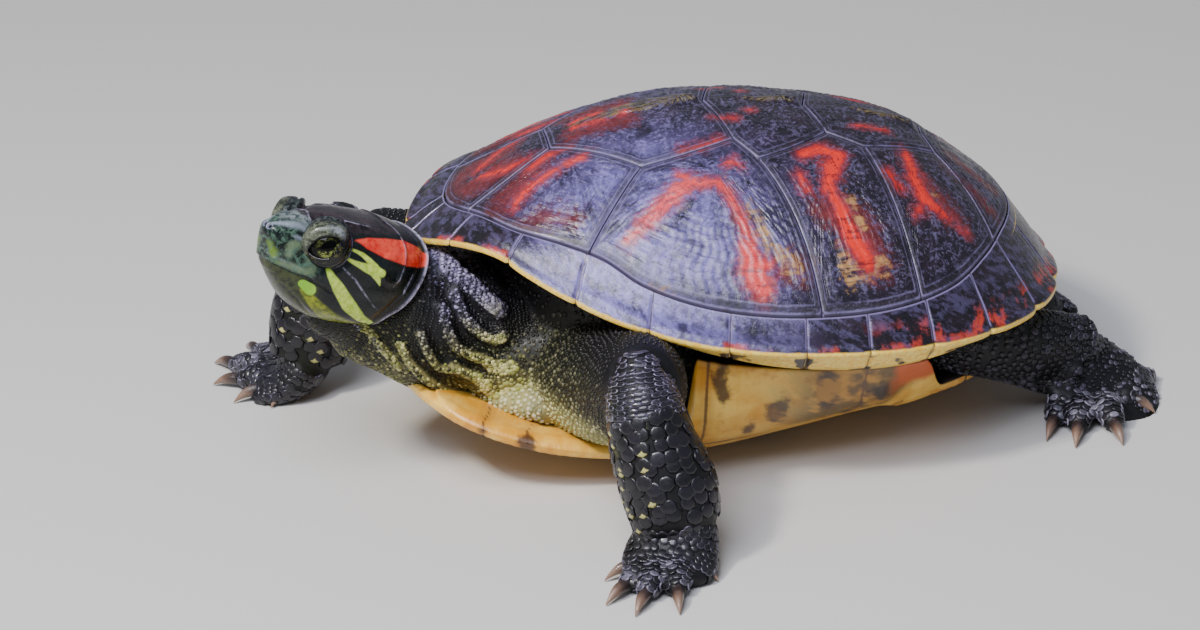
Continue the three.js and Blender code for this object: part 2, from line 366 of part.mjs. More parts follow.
// right foreleg
const rfUpper = [[-42, 20, 20, 12, 12], [-52, 26, 24, 12, 12], [-66, 32.5, 30, 11, 11], [-78, 35.5, 34, 8.5, 9]];
const rfFore = [[-84, 37, 40.5, 4.6, 5], [-86, 36.2, 36, 7.8, 8], [-90, 34.4, 27, 9.6, 9], [-93, 32.4, 17.5, 10.2, 8.8], [-95.4, 31, 9.8, 9, 6.9]];
const rfPad = [[-95.4, 31.2, 9.3, 8.6, 6], [-98, 32, 5.8, 9.2, 5.2], [-102, 34, 3.6, 10.2, 3.6], [-105.4, 36, 2.7, 9, 2.8]];
const rfDig = [digit([-99.5, 29, 3.4], [-105.5, 24, 0.3], 2.5, 6), digit([-103, 30.5, 3.4], [-114, 29.2, 0.3], 2.7), digit([-105, 34.5, 3.4], [-118.2, 40.5, 0.3], 2.7), digit([-104.5, 38.5, 3.4], [-117.2, 52.5, 0.3], 2.7), digit([-101.5, 41.5, 3.4], [-109.2, 60, 0.3], 2.5)];
node("upper_arm_right", mesh(biggest(solid(tube(rfUpper, 4, 12, Z)).subtract(trunkG).subtract(neckG).subtract(plastronG).subtract(rowG.R).subtract(elbowG(rfFore)))), SKIN);
foot("hand_right", rfPad, V(-0.5, 0, 1), rfDig, [elbowG(rfFore)]);
node("forearm_right", mesh(solid(tube(rfFore, 6, 12, Y))), SKIN);
// hind legs
function hind(side, s, K) {
  const m = (p) => [p[0] + K.dx, s * p[1] + K.dy, ...p.slice(2)];
  const leg = [[37, 15, 21.5, 9, 8.4], [46, 23, 22.6, 9.4, 8], [54, 26.6, 21.4, 9, 7.2], [63, 25, 17.6, 9, 7], [71, 21.4, 13, 9.6, 7], [77, 18.5, 10, 9.8, 6.4]].map(m);
  const pad = [[78.8, 18, 9.4, 9.8, 6], [81.6, 20, 7.2, 13.4, 5], [81.8, 25, 4.8, 14.6, 3.8], [80, 31, 2.9, 13, 2.6]].map(m);
  const d = [digit([72, 28, 3.4], [65.5, 40.5, 0.3], 2.6), digit([76, 30.5, 3.4], [71, 45.5, 0.3], 2.9), digit([81, 31, 3.4], [81.5, 47, 0.3], 2.9), digit([86, 28.5, 3.2], [92.5, 33, 0.3], 2.8, 6), digit([88, 24.5, 3], [95.5, 15.5, 1.2], 2.3, 0, 0.8, false)]
    .map((q) => q.map((p) => (Array.isArray(p) ? m(p) : p)));
  const row = s < 0 ? rowG.L : rowG.R;
  foot(`foot_${side}`, pad, V(0.4, 0, 1), d, [solid(tube(leg, 7, 12, Y, GAP))]);
  node(`hind_leg_${side}`, mesh(biggest(solid(tube(leg, 7, 12, Y)).subtract(trunkG).subtract(row).subtract(plastronG))), SKIN);
}
hind("left", -1, { dx: 0, dy: 0 });
hind("right", 1, { dx: -9, dy: 7 });
// tail
const tail = [[50, 1, 20, 7.2, 7], [58, 1.5, 17.6, 6.2, 5.8], [65, 2.4, 14.8, 4.8, 4.4], [71, 3.6, 12.2, 3, 2.8], [76, 5, 10.2, 1.3, 1.2]];
node("tail", mesh(biggest(solid(tube(tail, 6, 10, Z)).subtract(trunkG).subtract(plastronG))), SKIN);

export default group;
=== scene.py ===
import math

import bpy
import numpy as np
from mathutils import Matrix, Vector
from mathutils.bvhtree import BVHTree


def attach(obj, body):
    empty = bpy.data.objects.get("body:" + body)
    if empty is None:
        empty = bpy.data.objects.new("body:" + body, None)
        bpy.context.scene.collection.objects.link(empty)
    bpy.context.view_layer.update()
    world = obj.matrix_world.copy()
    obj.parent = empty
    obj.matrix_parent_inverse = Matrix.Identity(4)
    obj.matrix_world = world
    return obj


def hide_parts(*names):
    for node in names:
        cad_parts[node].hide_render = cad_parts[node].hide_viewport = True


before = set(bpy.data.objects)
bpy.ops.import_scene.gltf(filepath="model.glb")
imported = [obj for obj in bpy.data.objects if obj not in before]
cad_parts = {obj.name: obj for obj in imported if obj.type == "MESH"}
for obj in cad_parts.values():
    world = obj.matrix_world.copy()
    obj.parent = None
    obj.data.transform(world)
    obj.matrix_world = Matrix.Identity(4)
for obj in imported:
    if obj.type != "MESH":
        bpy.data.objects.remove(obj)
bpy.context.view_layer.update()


# ---------------------------------------------------------------- dome plates
# Thirteen thin plates of horn over the bony dome: five down the keel and four on each side.
# Each grew outwards in rings from an old centre near its upper edge, and the seams between
# them are pale new horn.  The right side's figures in red, rust and yellow mirror the left's.
# A painted lavender sheen, a painted reflection of the sky, lies over the front plates.
def knots(xs, ys):
    """Smooth curve through knots: on each span the cubic whose slope at a knot is that of the line
    between its neighbours."""
    xs, ys = np.array(xs, float), np.array(ys, float)
    m = np.empty(len(xs))
    m[0], m[-1] = (ys[1] - ys[0]) / (xs[1] - xs[0]), (ys[-1] - ys[-2]) / (xs[-1] - xs[-2])
    m[1:-1] = (ys[2:] - ys[:-2]) / (xs[2:] - xs[:-2])

    def at(x):
        x = np.clip(x, xs[0], xs[-1])
        i = np.clip(np.searchsorted(xs, x, side="right") - 1, 0, len(xs) - 2)
        h = xs[i + 1] - xs[i]
        t = (x - xs[i]) / h
        return (
            ys[i] * (1 + 2 * t) * (1 - t) ** 2 + h * m[i] * t * (1 - t) ** 2
            + ys[i + 1] * t * t * (3 - 2 * t) + h * m[i + 1] * t * t * (t - 1)
        )

    return at


half_length, half_width, widest = 75.0, 57.5, 10.0
plate_depth, seam_gap, edge_step, ring_step = 2.6, 0.1, 0.52, 0.6
rim_height = knots(
    [-75, -70, -64.5, -58, -52, -45, -37, -29, -12, 15, 45, 75],
    [35.5, 38.6, 40.6, 40.6, 37.8, 34.6, 31.5, 29, 25.6, 24, 23.6, 23.8]
)
keel_height = knots([-75, -60, -40, -15, 12, 38, 60, 75], [36, 46, 56.8, 62.8, 61.8, 56, 41.5, 28])


def half_outline(x):
    """Half width of the shell at station x: a superellipse with its own exponents before and behind the
    widest point."""
    rear = x >= widest
    t = np.clip(
        np.where(rear, (x - widest) / (half_length - widest), (widest - x) / (widest + half_length)), 0, 1
    )
    return (
        half_width
        * np.maximum(1e-9, 1 - t ** np.where(rear, 2.3, 1.8)) ** (1 / np.where(rear, 2.25, 1.8))
    )


def dome(x, y):
    """Height of the dome: rim height plus the keel's rise times a superelliptic arch across."""
    s = np.minimum(1, np.abs(y) / half_outline(x))
    return (
        rim_height(x)
        + (np.maximum(keel_height(x), rim_height(x)) - rim_height(x)) * np.maximum(0, 1 - s**2.11) ** 0.89
    )


pitch, roll, lift = math.radians(4.5), math.radians(-2.0), 11.0
middle = np.array([10.64, 20.0, 0.0])
stance = (
    np.array([[math.cos(pitch), 0, math.sin(pitch)], [0, 1, 0], [-math.sin(pitch), 0, math.cos(pitch)]])
    @ np.array([[1, 0, 0], [0, math.cos(roll), -math.sin(roll)], [0, math.sin(roll), math.cos(roll)]])
)


def stand(P):
    """Shell millimetres to the model's frame: tipped and rolled as the animal stands, then lifted on its
    legs."""
    return P @ stance.T + [0, 0, lift] + middle


def smooth(x, low, high):
    """0 below low, 1 above high, with a cubic ease between."""
    t = np.clip((x - low) / (high - low), 0, 1)
    return t * t * (3 - 2 * t)


def bell(x, width):
    """1 where x is 0, falling away on both sides as exp of minus the square of x over width."""
    return np.exp(-((x / width) ** 2))


def facing_out(V, *faces):
    """The faces as given, or turned round where the volume they enclose comes out negative."""
    T = np.vstack([f[:, [0, k, k + 1]] for f in faces for k in range(1, f.shape[1] - 1)])
    W = V - V.mean(0)
    inside_out = np.einsum("ij,ij->", W[T[:, 0]], np.cross(W[T[:, 1]], W[T[:, 2]])) < 0
    return [f[:, ::-1] if inside_out else f for f in faces]


def closed(rings, tips=(None, None)):
    """Closed surface through a grid of rings: quads join neighbouring rings, which wrap round, and a fan
    closes each end on its tip or its middle."""
    n, m, _ = rings.shape
    ends = [rings[k].mean(0) if tip is None else np.asarray(tip, float) for k, tip in zip((0, -1), tips)]
    V = np.vstack([rings.reshape(-1, 3), ends])
    i, j = np.meshgrid(np.arange(n - 1), np.arange(m), indexing="ij")
    k = (j + 1) % m
    quads = np.stack([i * m + j, i * m + k, (i + 1) * m + k, (i + 1) * m + j], -1).reshape(-1, 4)
    j = np.arange(m)
    k = (j + 1) % m
    fans = np.vstack([
        np.stack([np.full(m, n * m), k, j], -1),
        np.stack([np.full(m, n * m + 1), (n - 1) * m + j, (n - 1) * m + k], -1)
    ])
    return V, *facing_out(V, quads, fans)


mm = 0.001


def shape(name, V, faces, fields=None, uv=None):
    """Mesh object from points in millimetres and arrays of faces. fields are numbers on the points, kept
    as attributes."""
    me = bpy.data.meshes.new(name)
    loops = np.concatenate([f.ravel() for f in faces]).astype(np.int32)
    sizes = np.concatenate([np.full(len(f), f.shape[1]) for f in faces])
    me.vertices.add(len(V))
    me.vertices.foreach_set("co", (V * mm).astype(np.float32).ravel())
    me.loops.add(len(loops))
    me.loops.foreach_set("vertex_index", loops)
    me.polygons.add(len(sizes))
    me.polygons.foreach_set("loop_start", np.concatenate([[0], np.cumsum(sizes)[:-1]]).astype(np.int32))
    me.update(calc_edges=True)
    for key, values in (fields or {}).items():
        me.attributes.new(key, "FLOAT", "POINT").data.foreach_set(
            "value", np.ascontiguousarray(values, np.float32)
        )
    if uv is not None:
        me.uv_layers.new(name="OFBake").data.foreach_set(
            "uv", np.ascontiguousarray(uv[loops], np.float32).ravel()
        )
    me.shade_smooth()
    piece = bpy.data.objects.new(name, me)
    bpy.context.scene.collection.objects.link(piece)
    return piece


def figure(P, strokes):
    """Signed distance from plan points to a drawn figure: each stroke sweeps a disc (x, y, half width)
    along straight runs. Negative inside."""
    best = np.full(len(P), 30.0)
    for stroke in strokes:
        A = np.array(stroke, float)
        A = np.vstack([A, A + np.eye(A.shape[1])[0] * 0.01]) if len(A) == 1 else A
        for a, b in zip(A[:-1], A[1:]):
            ab = b[:-1] - a[:-1]
            t = np.clip(((P - a[:-1]) @ ab) / (ab @ ab), 0, 1)
            best = np.minimum(
                best, np.linalg.norm(P - a[:-1] - t[:, None] * ab, axis=1) - (a[-1] + (b[-1] - a[-1]) * t)
            )
    return best


class Tone:
    """A number inside a material.  Sums, products and powers of tones add their Math nodes."""

    def __init__(self, finish, socket):
        self.finish, self.socket = finish, socket

    def _math(self, operation, a, b):
        return self.finish.node("Math", {"operation": operation}, {0: a, 1: b})

    def __add__(self, other):
        return self._math("ADD", self, other)

    def __sub__(self, other):
        return self._math("SUBTRACT", self, other)

    def __rsub__(self, other):
        return self._math("SUBTRACT", other, self)

    def __mul__(self, other):
        return self._math("MULTIPLY", self, other)

    def __pow__(self, other):
        return self._math("POWER", self, other)

    def __abs__(self):
        return self.finish.node("Math", {"operation": "ABSOLUTE"}, {0: self})

    __radd__, __rmul__ = __add__, __mul__


class Finish:
    """A material being mixed.  Colours are given as 0-255 screen values."""

    def __init__(self, name):
        self.material = bpy.data.materials.new(name)
        self.material.use_nodes = True
        self.tree = self.material.node_tree
        self.tree.nodes.clear()
        self.place = self.node(
            "VectorMath", {"operation": "SCALE"},
            {0: self.node("TexCoord", {}, {}, "Object"), "Scale": 1000.0}
        )

    def node(self, kind, settings, sockets, out=0):
        """One node: its settings first, then the values or links of its sockets."""
        n = self.tree.nodes.new("ShaderNode" + kind)
        for key, value in settings.items():
            setattr(n, key, value)
        for key, value in sockets.items():
            if isinstance(value, Tone):
                self.tree.links.new(value.socket, n.inputs[key])
            else:
                n.inputs[key].default_value = value
        return Tone(self, n.outputs[out])

    def colour(self, r, g, b):
        """Screen colour to the light values that nodes use."""
        return (
            tuple(
                ((c / 255) / 12.92 if c < 10.3 else ((c / 255 + 0.055) / 1.055) ** 2.4) for c in (r, g, b)
            )
            + (1.0,)
        )

    def field(self, name):
        return self.node("Attribute", {"attribute_name": name}, {}, "Fac")

    def noise(self, scale, detail=3.0, rough=0.55, warp=0.0, at=None):
        return self.node(
            "TexNoise", {},
            {
                "Vector": at or self.place, "Scale": scale, "Detail": detail, "Roughness": rough,
                "Distortion": warp
            },
            "Fac"
        )

    def vector(self, x, y, z=0.0):
        return self.node("CombineXYZ", {}, {0: x, 1: y, 2: z})

    def ease(self, value, low, high):
        """0 at low and 1 at high with a smooth step, and the other way round when low is above high."""
        start, end = (1.0, 0.0) if low > high else (0.0, 1.0)
        limits = {"From Min": min(low, high), "From Max": max(low, high), "To Min": start, "To Max": end}
        return self.node("MapRange", {"interpolation_type": "SMOOTHSTEP"}, {"Value": value, **limits})

    def mix(self, share, a, b):
        a, b = (c if isinstance(c, Tone) else self.colour(*c) for c in (a, b))
        return self.node("Mix", {"data_type": "RGBA", "clamp_factor": True}, {0: share, 6: a, 7: b}, 2)

    def done(self, base, rough, height=None, depth=0.1, **sockets):
        """Closes the material: one principled surface, with a bump of the given depth in millimetres."""
        links = {"Base Color": base, "Roughness": rough}
        if height is not None:
            links["Normal"] = self.node(
                "Bump", {}, {"Strength": 1.0, "Distance": depth * mm, "Height": height}
            )
        links.update({key.replace("_", " "): value for key, value in sockets.items()})
        surface = self.node("BsdfPrincipled", {}, links)
        self.tree.links.new(
            surface.socket, self.tree.nodes.new("ShaderNodeOutputMaterial").inputs["Surface"]
        )
        return self.material


lavender, pale_seam = ((102, 92, 166), (150, 142, 212)), (138, 128, 176)


def horn_finish():
    """Dark violet-brown horn: growth rings, streaks of lavender, figures in rust, red and yellow, pale
    seams, and a painted lavender sheen, a painted sky reflection, over the front plates."""
    f = Finish("dome_horn")
    edge, turn, reach = f.field("edge"), f.field("turn"), f.field("reach")
    cloud = f.noise(0.16, 4, 0.6)
    fine = f.noise(0.9, 4, 0.6)
    rays = f.noise(1.0, 3, 0.6, at=f.vector(turn * 26.0, reach * 2.4, cloud * 2.0))
    rings = f.noise(1.0, 2, 0.6, at=f.vector(reach * 24.0, turn * 3.2, cloud * 3.0))
    # Where a lavender sheen is painted on: a painted reflection of the sky over the front plates.
    painted_sheen = f.field("painted_sheen")
    base = f.mix(f.ease(cloud, 0.35, 0.68), (15, 10, 19), (36, 22, 32))
    marble = f.noise(0.5, 5, 0.66, 2.2)
    veil = f.ease(marble * 0.62 + rays * 0.26 + fine * 0.26, 0.56, 0.65)
    base = f.mix(veil * (0.46 + painted_sheen * 0.4), base, f.mix(painted_sheen, (116, 106, 146), (112, 98, 168)))
    base = f.mix(painted_sheen * f.ease(cloud + rays * 0.4, 0.42, 0.9) * 0.85, base, f.mix(fine, *lavender))
    blots = f.noise(0.3, 3, 0.6, 1.4)
    ragged = (fine - 0.5) * 2.2 + (rays - 0.5) * 1.6 + (marble - 0.5) * 3.0 + (blots - 0.5) * 5.0
    base = f.mix(
        f.ease(f.field("rust") + ragged * 1.5, 2.4, -2.4) * 0.8, base,
        f.mix(fine, (62, 16, 20), (134, 44, 40))
    )
    base = f.mix(
        f.ease(f.field("gold") + ragged, 0.9, -0.7) * f.ease(rings + fine * 0.4, 0.55, 0.8) * 0.9, base,
        (184, 140, 84)
    )
    mark = f.field("red")
    growth = f.noise(1.0, 3, 0.6, at=f.vector(edge * 1.7 + cloud * 2.0, turn * 9.0, cloud * 2.0))
    base = f.mix(f.ease(growth, 0.54, 0.66) * f.ease(edge, 14.0, 4.0) * 0.6, base, (34, 26, 42))
    base = f.mix(
        f.ease(mark + ragged * 0.9, 2.2, 0.2) * f.ease(marble + fine * 0.3, 0.5, 0.7) * 0.45, base,
        (170, 60, 66)
    )
    red = f.ease(mark + ragged * 0.8, 0.6, -0.35)
    base = f.mix(
        red * f.ease(rays + fine * 0.5 - mark * 0.16, 0.5, 0.72), base,
        f.mix(f.ease(mark + ragged * 0.3, 0.1, -1.3), (150, 40, 44), (226, 44, 24))
    )
    base = f.mix(
        red * f.ease(rings * 0.6 + growth * 0.5 + fine * 0.2, 0.66, 0.76) * 0.7, base, (70, 20, 24)
    )
    # Pink painted sheen over the red figures.
    base = f.mix(painted_sheen * red * 0.3, base, (226, 128, 146))
    cracks = f.noise(0.42, 5, 0.62, 2.6, at=f.vector(edge * 0.9 + cloud * 3.0, turn * 26.0, reach * 3.0))
    base = f.mix(f.ease(abs(cracks - 0.5), 0.028, 0.0) * (0.34 + painted_sheen * 0.3), base, (44, 34, 58))
    keel = f.ease(f.field("keel") + ragged * 0.3, 0.5, -0.3)
    base = f.mix(
        keel * f.ease(f.noise(1.0, 2, at=f.vector(turn * 60.0, reach * 6.0)), 0.42, 0.6) * 0.6, base,
        (126, 112, 66)
    )
    base = f.mix(f.ease(edge + (fine - 0.5) * 0.5, 3.4, 1.2) * 0.5, base, (20, 14, 26))
    double = (
        f.ease(edge + (fine - 0.5) * 0.3, 0.5, 0.22) * 0.6
        + f.ease(abs(edge - 1.25 + (cloud - 0.5) * 0.8), 0.22, 0.05) * 0.3
    )
    base = f.mix(double * f.ease(cloud + painted_sheen * 0.3, 0.3, 0.62), base, pale_seam)
    base = f.mix(f.ease(edge, 0.26, 0.08) * 0.8, base, (22, 16, 28))
    rough = f.ease(rays * 0.5 + fine * 0.5, 0.3, 0.75) * 0.24 + 0.22 + f.ease(edge, 1.6, 0.4) * 0.3
    ridge = rings * 0.4 + rays * 0.6 + fine * 0.45 + growth * 0.6
    return f.done(base, rough, ridge, 0.26, IOR=1.5, Coat_Weight=0.2, Coat_Roughness=0.16)


horn = horn_finish()

rim_x = np.cos(np.pi * np.arange(601) / 600)
rim_x = np.where(
    rim_x > 0, widest - (widest + half_length) * np.abs(rim_x) ** 0.95,
    widest + (half_length - widest) * np.abs(rim_x) ** 0.95
)
rim_y = -half_outline(rim_x)
rim_y[[0, -1]] = 0
rim_s = np.concatenate([[0], np.cumsum(np.hypot(np.diff(rim_x), np.diff(rim_y)))])
rim_length = rim_s[-1]
lean = np.stack([np.roll(rim_x, -5) - np.roll(rim_x, 4), np.roll(rim_y, -5) - np.roll(rim_y, 4)], -1)
lean[:4], lean[-5:] = lean[4], lean[-6]
lean = np.stack([-lean[:, 1], lean[:, 0]], -1) / np.linalg.norm(lean, axis=1)[:, None]
lean[:3], lean[-3:] = [1, 0], [-1, 0]


def rim(f):
    """Left edge of the shell at fraction f of its length, from the nose end to the tail end: place in
    plan and inward direction."""
    s = np.clip(f, 0, 1) * rim_length
    return [np.interp(s, rim_s, table) for table in (rim_x, rim_y, lean[:, 0], lean[:, 1])]


margin_width = knots(
    [0, 0.1, 0.17, 0.24, 0.29, 0.34, 0.42, 0.52, 0.62, 0.7, 0.78, 0.86, 1],
    [9.5, 8.6, 7, 7.4, 7.2, 5.2, 4.3, 4.4, 5.3, 7.2, 10.6, 12.6, 12]
)


def inner_line(f):
    """Line where the dome plates meet the edge plates."""
    x, y, nx, ny = rim(f)
    w = margin_width(f)
    return x + nx * w, np.minimum(0, y + ny * w)


station = np.linspace(0, 1, 2001)
station_x = np.maximum.accumulate(inner_line(station)[0])


def along_line(x0, x1, n=24):
    """Points of that line from one station to another."""
    f = np.interp(np.linspace(x0, x1, n, endpoint=False), station_x, station)
    return np.stack(inner_line(f), -1)


def edge(a, b, sag=0.0, n=14):
    """Seam from a towards b, bowed sideways by sag times its length."""
    t = np.arange(n)[:, None] / n
    a, b = np.array(a, float), np.array(b, float)
    return a + (b - a) * t + np.array([-(b - a)[1], (b - a)[0]]) * sag * 4 * t * (1 - t)


corner_v1 = along_line(-61.6, -61.6, 1)[0]
corner_v5 = along_line(54.5, 54.5, 1)[0]
v12, v2a, v23, v3a = [-42.6, -6.2], [-24.3, -22.3], [-3, -17.5], [1.6, -23.6]
v34, v4a, v45 = [18.7, -13.4], [26.8, -17], [44.5, -9]
m12, m23, m34 = (along_line(x, x, 1)[0] for x in (-37.7, 11.5, 34.3))
keel_front, k12, k23, k34, k45, keel_rear = ([x, 0] for x in (-65.5, -42.6, -7.2, 15.8, 43.2, 62.9))


def outline(*runs):
    """Outline of a plate from the runs of points round it."""
    return np.vstack(runs)


def both_sides(*runs):
    """Outline of a plate that crosses the keel: its left half from keel to keel, and the mirror image."""
    half = np.vstack(runs)
    return np.vstack([half, half[1:][::-1] * [1, -1]])


# Each plate's outline in plan, on the left side or across the keel, and its centre of growth.
plates = {
    "vertebral_1": (
        both_sides(
            [keel_front], along_line(-65.3, -61.6), edge(corner_v1, v12), edge(v12, k12, 0, 6), [k12]
        ),
        [-47, 0]
    ),
    "vertebral_2": (
        both_sides(edge(k12, v12, 0, 6), edge(v12, v2a), edge(v2a, v23, -0.05), edge(v23, k23), [k23]),
        [-13, 0]
    ),
    "vertebral_3": (
        both_sides(edge(k23, v23), edge(v23, v3a, 0, 6), edge(v3a, v34, -0.05), edge(v34, k34), [k34]),
        [10, 0]
    ),
    "vertebral_4": (
        both_sides(edge(k34, v34), edge(v34, v4a), edge(v4a, v45, -0.04), edge(v45, k45, 0, 6), [k45]),
        [36, 0]
    ),
    "vertebral_5": (
        both_sides(edge(k45, v45, 0, 6), edge(v45, corner_v5, 0.05), along_line(54.5, 62.5), [keel_rear]),
        [50, 0]
    ),
    "pleural_1": (
        outline(edge(v12, v2a), edge(v2a, m12), along_line(-37.7, -61.6), edge(corner_v1, v12)),
        [-39, -15]
    ),
    "pleural_2": (
        outline(
            edge(v2a, v23, -0.05), edge(v23, v3a, 0, 6), edge(v3a, m23, 0.05),
            along_line(11.5, -37.7, 40), edge(m12, v2a)
        ),
        [-8, -27]
    ),
    "pleural_3": (
        outline(
            edge(v3a, v34, -0.05), edge(v34, v4a, 0, 8), edge(v4a, m34, 0.02), along_line(34.3, 11.5),
            edge(m23, v3a, -0.05)
        ),
        [16, -24]
    ),
    "pleural_4": (
        outline(
            edge(v4a, v45, -0.04), edge(v45, corner_v5, 0.05), along_line(54.5, 34.3),
            edge(m34, v4a, -0.02)
        ),
        [37, -20]
    )
}
red_marks = [
    [
        [-29.6, -37.4, 0.8], [-23.9, -34.3, 1.7], [-16.7, -30.0, 1.8], [-13.9, -29.0, 1.4],
        [-8.2, -29.7, 1.0], [-6.3, -32.1, 0.9], [-4.9, -35.7, 0.9], [-3.5, -39.9, 1.1],
        [-2.4, -44.3, 1.6], [-2.2, -48.9, 0.8]
    ],
    [[-4.9, -46.0, 1.3], [-2.2, -46.2, 2.2], [0.5, -45.8, 1.2]],
    [[-16.3, -26.9, 0.8], [-12.2, -29.4, 1.2]],
    [[-5.9, -25.2, 0.4], [-4.1, -24.9, 0.9], [-2.5, -26.0, 0.4]],
    [[-4.6, -42.0, 0.8], [-3.0, -46.5, 2.4], [-1.0, -49.0, 2.2]],
    [[-15.5, -20.5, 0.5], [-10.7, -19.8, 1.0], [-5.5, -17.8, 0.5]],
    [[-36.6, -1.6, 0.9], [-31, -2.6, 1.1]], [[-25.4, -2.4, 0.8]],
    [[-47.5, -10.6, 1.2], [-43.8, -9.0, 1.4], [-38.9, -9.6, 0.9]],
    [[-40.0, -15.4, 0.9], [-36.8, -14.8, 1.2], [-35.0, -13.5, 0.5]],
    [[-52.1, -20.5, 1.0], [-48.1, -17.1, 1.2], [-42.3, -15.8, 0.9]],
    [[-57.7, -2.5, 0.8], [-52.2, -6.2, 1.1], [-47.2, -6.4, 0.8]],
    [[12.0, -22.0, 1.6], [15.7, -20.4, 1.6], [20.2, -21.6, 1.6], [17.7, -26.5, 2.0], [15.7, -31.3, 0.9]],
    [[16.8, -24.9, 1.1], [16.9, -32.3, 1.1], [18.4, -36.5, 1.9], [19.9, -40.8, 2.2], [22.9, -44.8, 1.8]],
    [[10.4, -28.1, 0.7], [11.1, -31.6, 0.8]],
    [[36.3, -14.5, 0.8], [36.8, -20.1, 1.4], [37.1, -24.4, 1.5], [38.6, -29.0, 1.9], [42.9, -30.6, 1.1]],
    [[30.9, -24.3, 0.9], [32.6, -27.6, 1.1]], [[37.2, -31.3, 0.6], [35.4, -33.6, 0.5]],
    [[46.1, -31.9, 0.6], [47.5, -32.0, 0.5]], [[26.0, -9.6, 0.7], [33.5, -8.8, 0.5]], [[2.5, -6.6, 0.7]],
    [[-1.5, -10.6, 0.6], [-6.0, -9.6, 0.7]]
]
rust_marks = [
    [[-58.5, -22, 3.0], [-52.5, -16, 4.0], [-45, -11.0, 3.0]],
    [[-64.0, -1.0, 2.5], [-59.4, -5, 4.5], [-53, -4.1, 4.5]], [[-38, -5, 2], [-26, -6, 3]],
    [[-55, -27, 1.5], [-47, -27, 2.5], [-40, -30, 1.5]], [[14, -36, 2.5], [22, -38, 4], [25, -44, 3]],
    [[40, -24, 2], [45, -30, 3]], [[50, -6, 2.0], [58, -9, 2.2]], [[47, -14, 1.5], [56, -20, 2.0]],
    [[4, -46, 2], [8, -46, 2]]
]
gold_marks = [
    [[-2.3, -34.8, 0.5], [-0.6, -38.2, 0.9], [0.8, -43.3, 0.9]],
    [[17.2, -44.0, 1.3], [18.4, -47.2, 1.3], [25.5, -45.0, 1.6]], [[-27, -46.5, 1.4], [-22, -47.6, 1.2]],
    [[3.0, -44, 1.2], [6.5, -46, 1.5]], [[20.5, -33, 1.0], [22.5, -38, 1.2]], [[41.0, -26.5, 0.8]]
]
keel_wedges = {"vertebral_2": (-9.0, -31.0), "vertebral_3": (14.0, -4.0), "vertebral_4": (41.0, 20.0)}

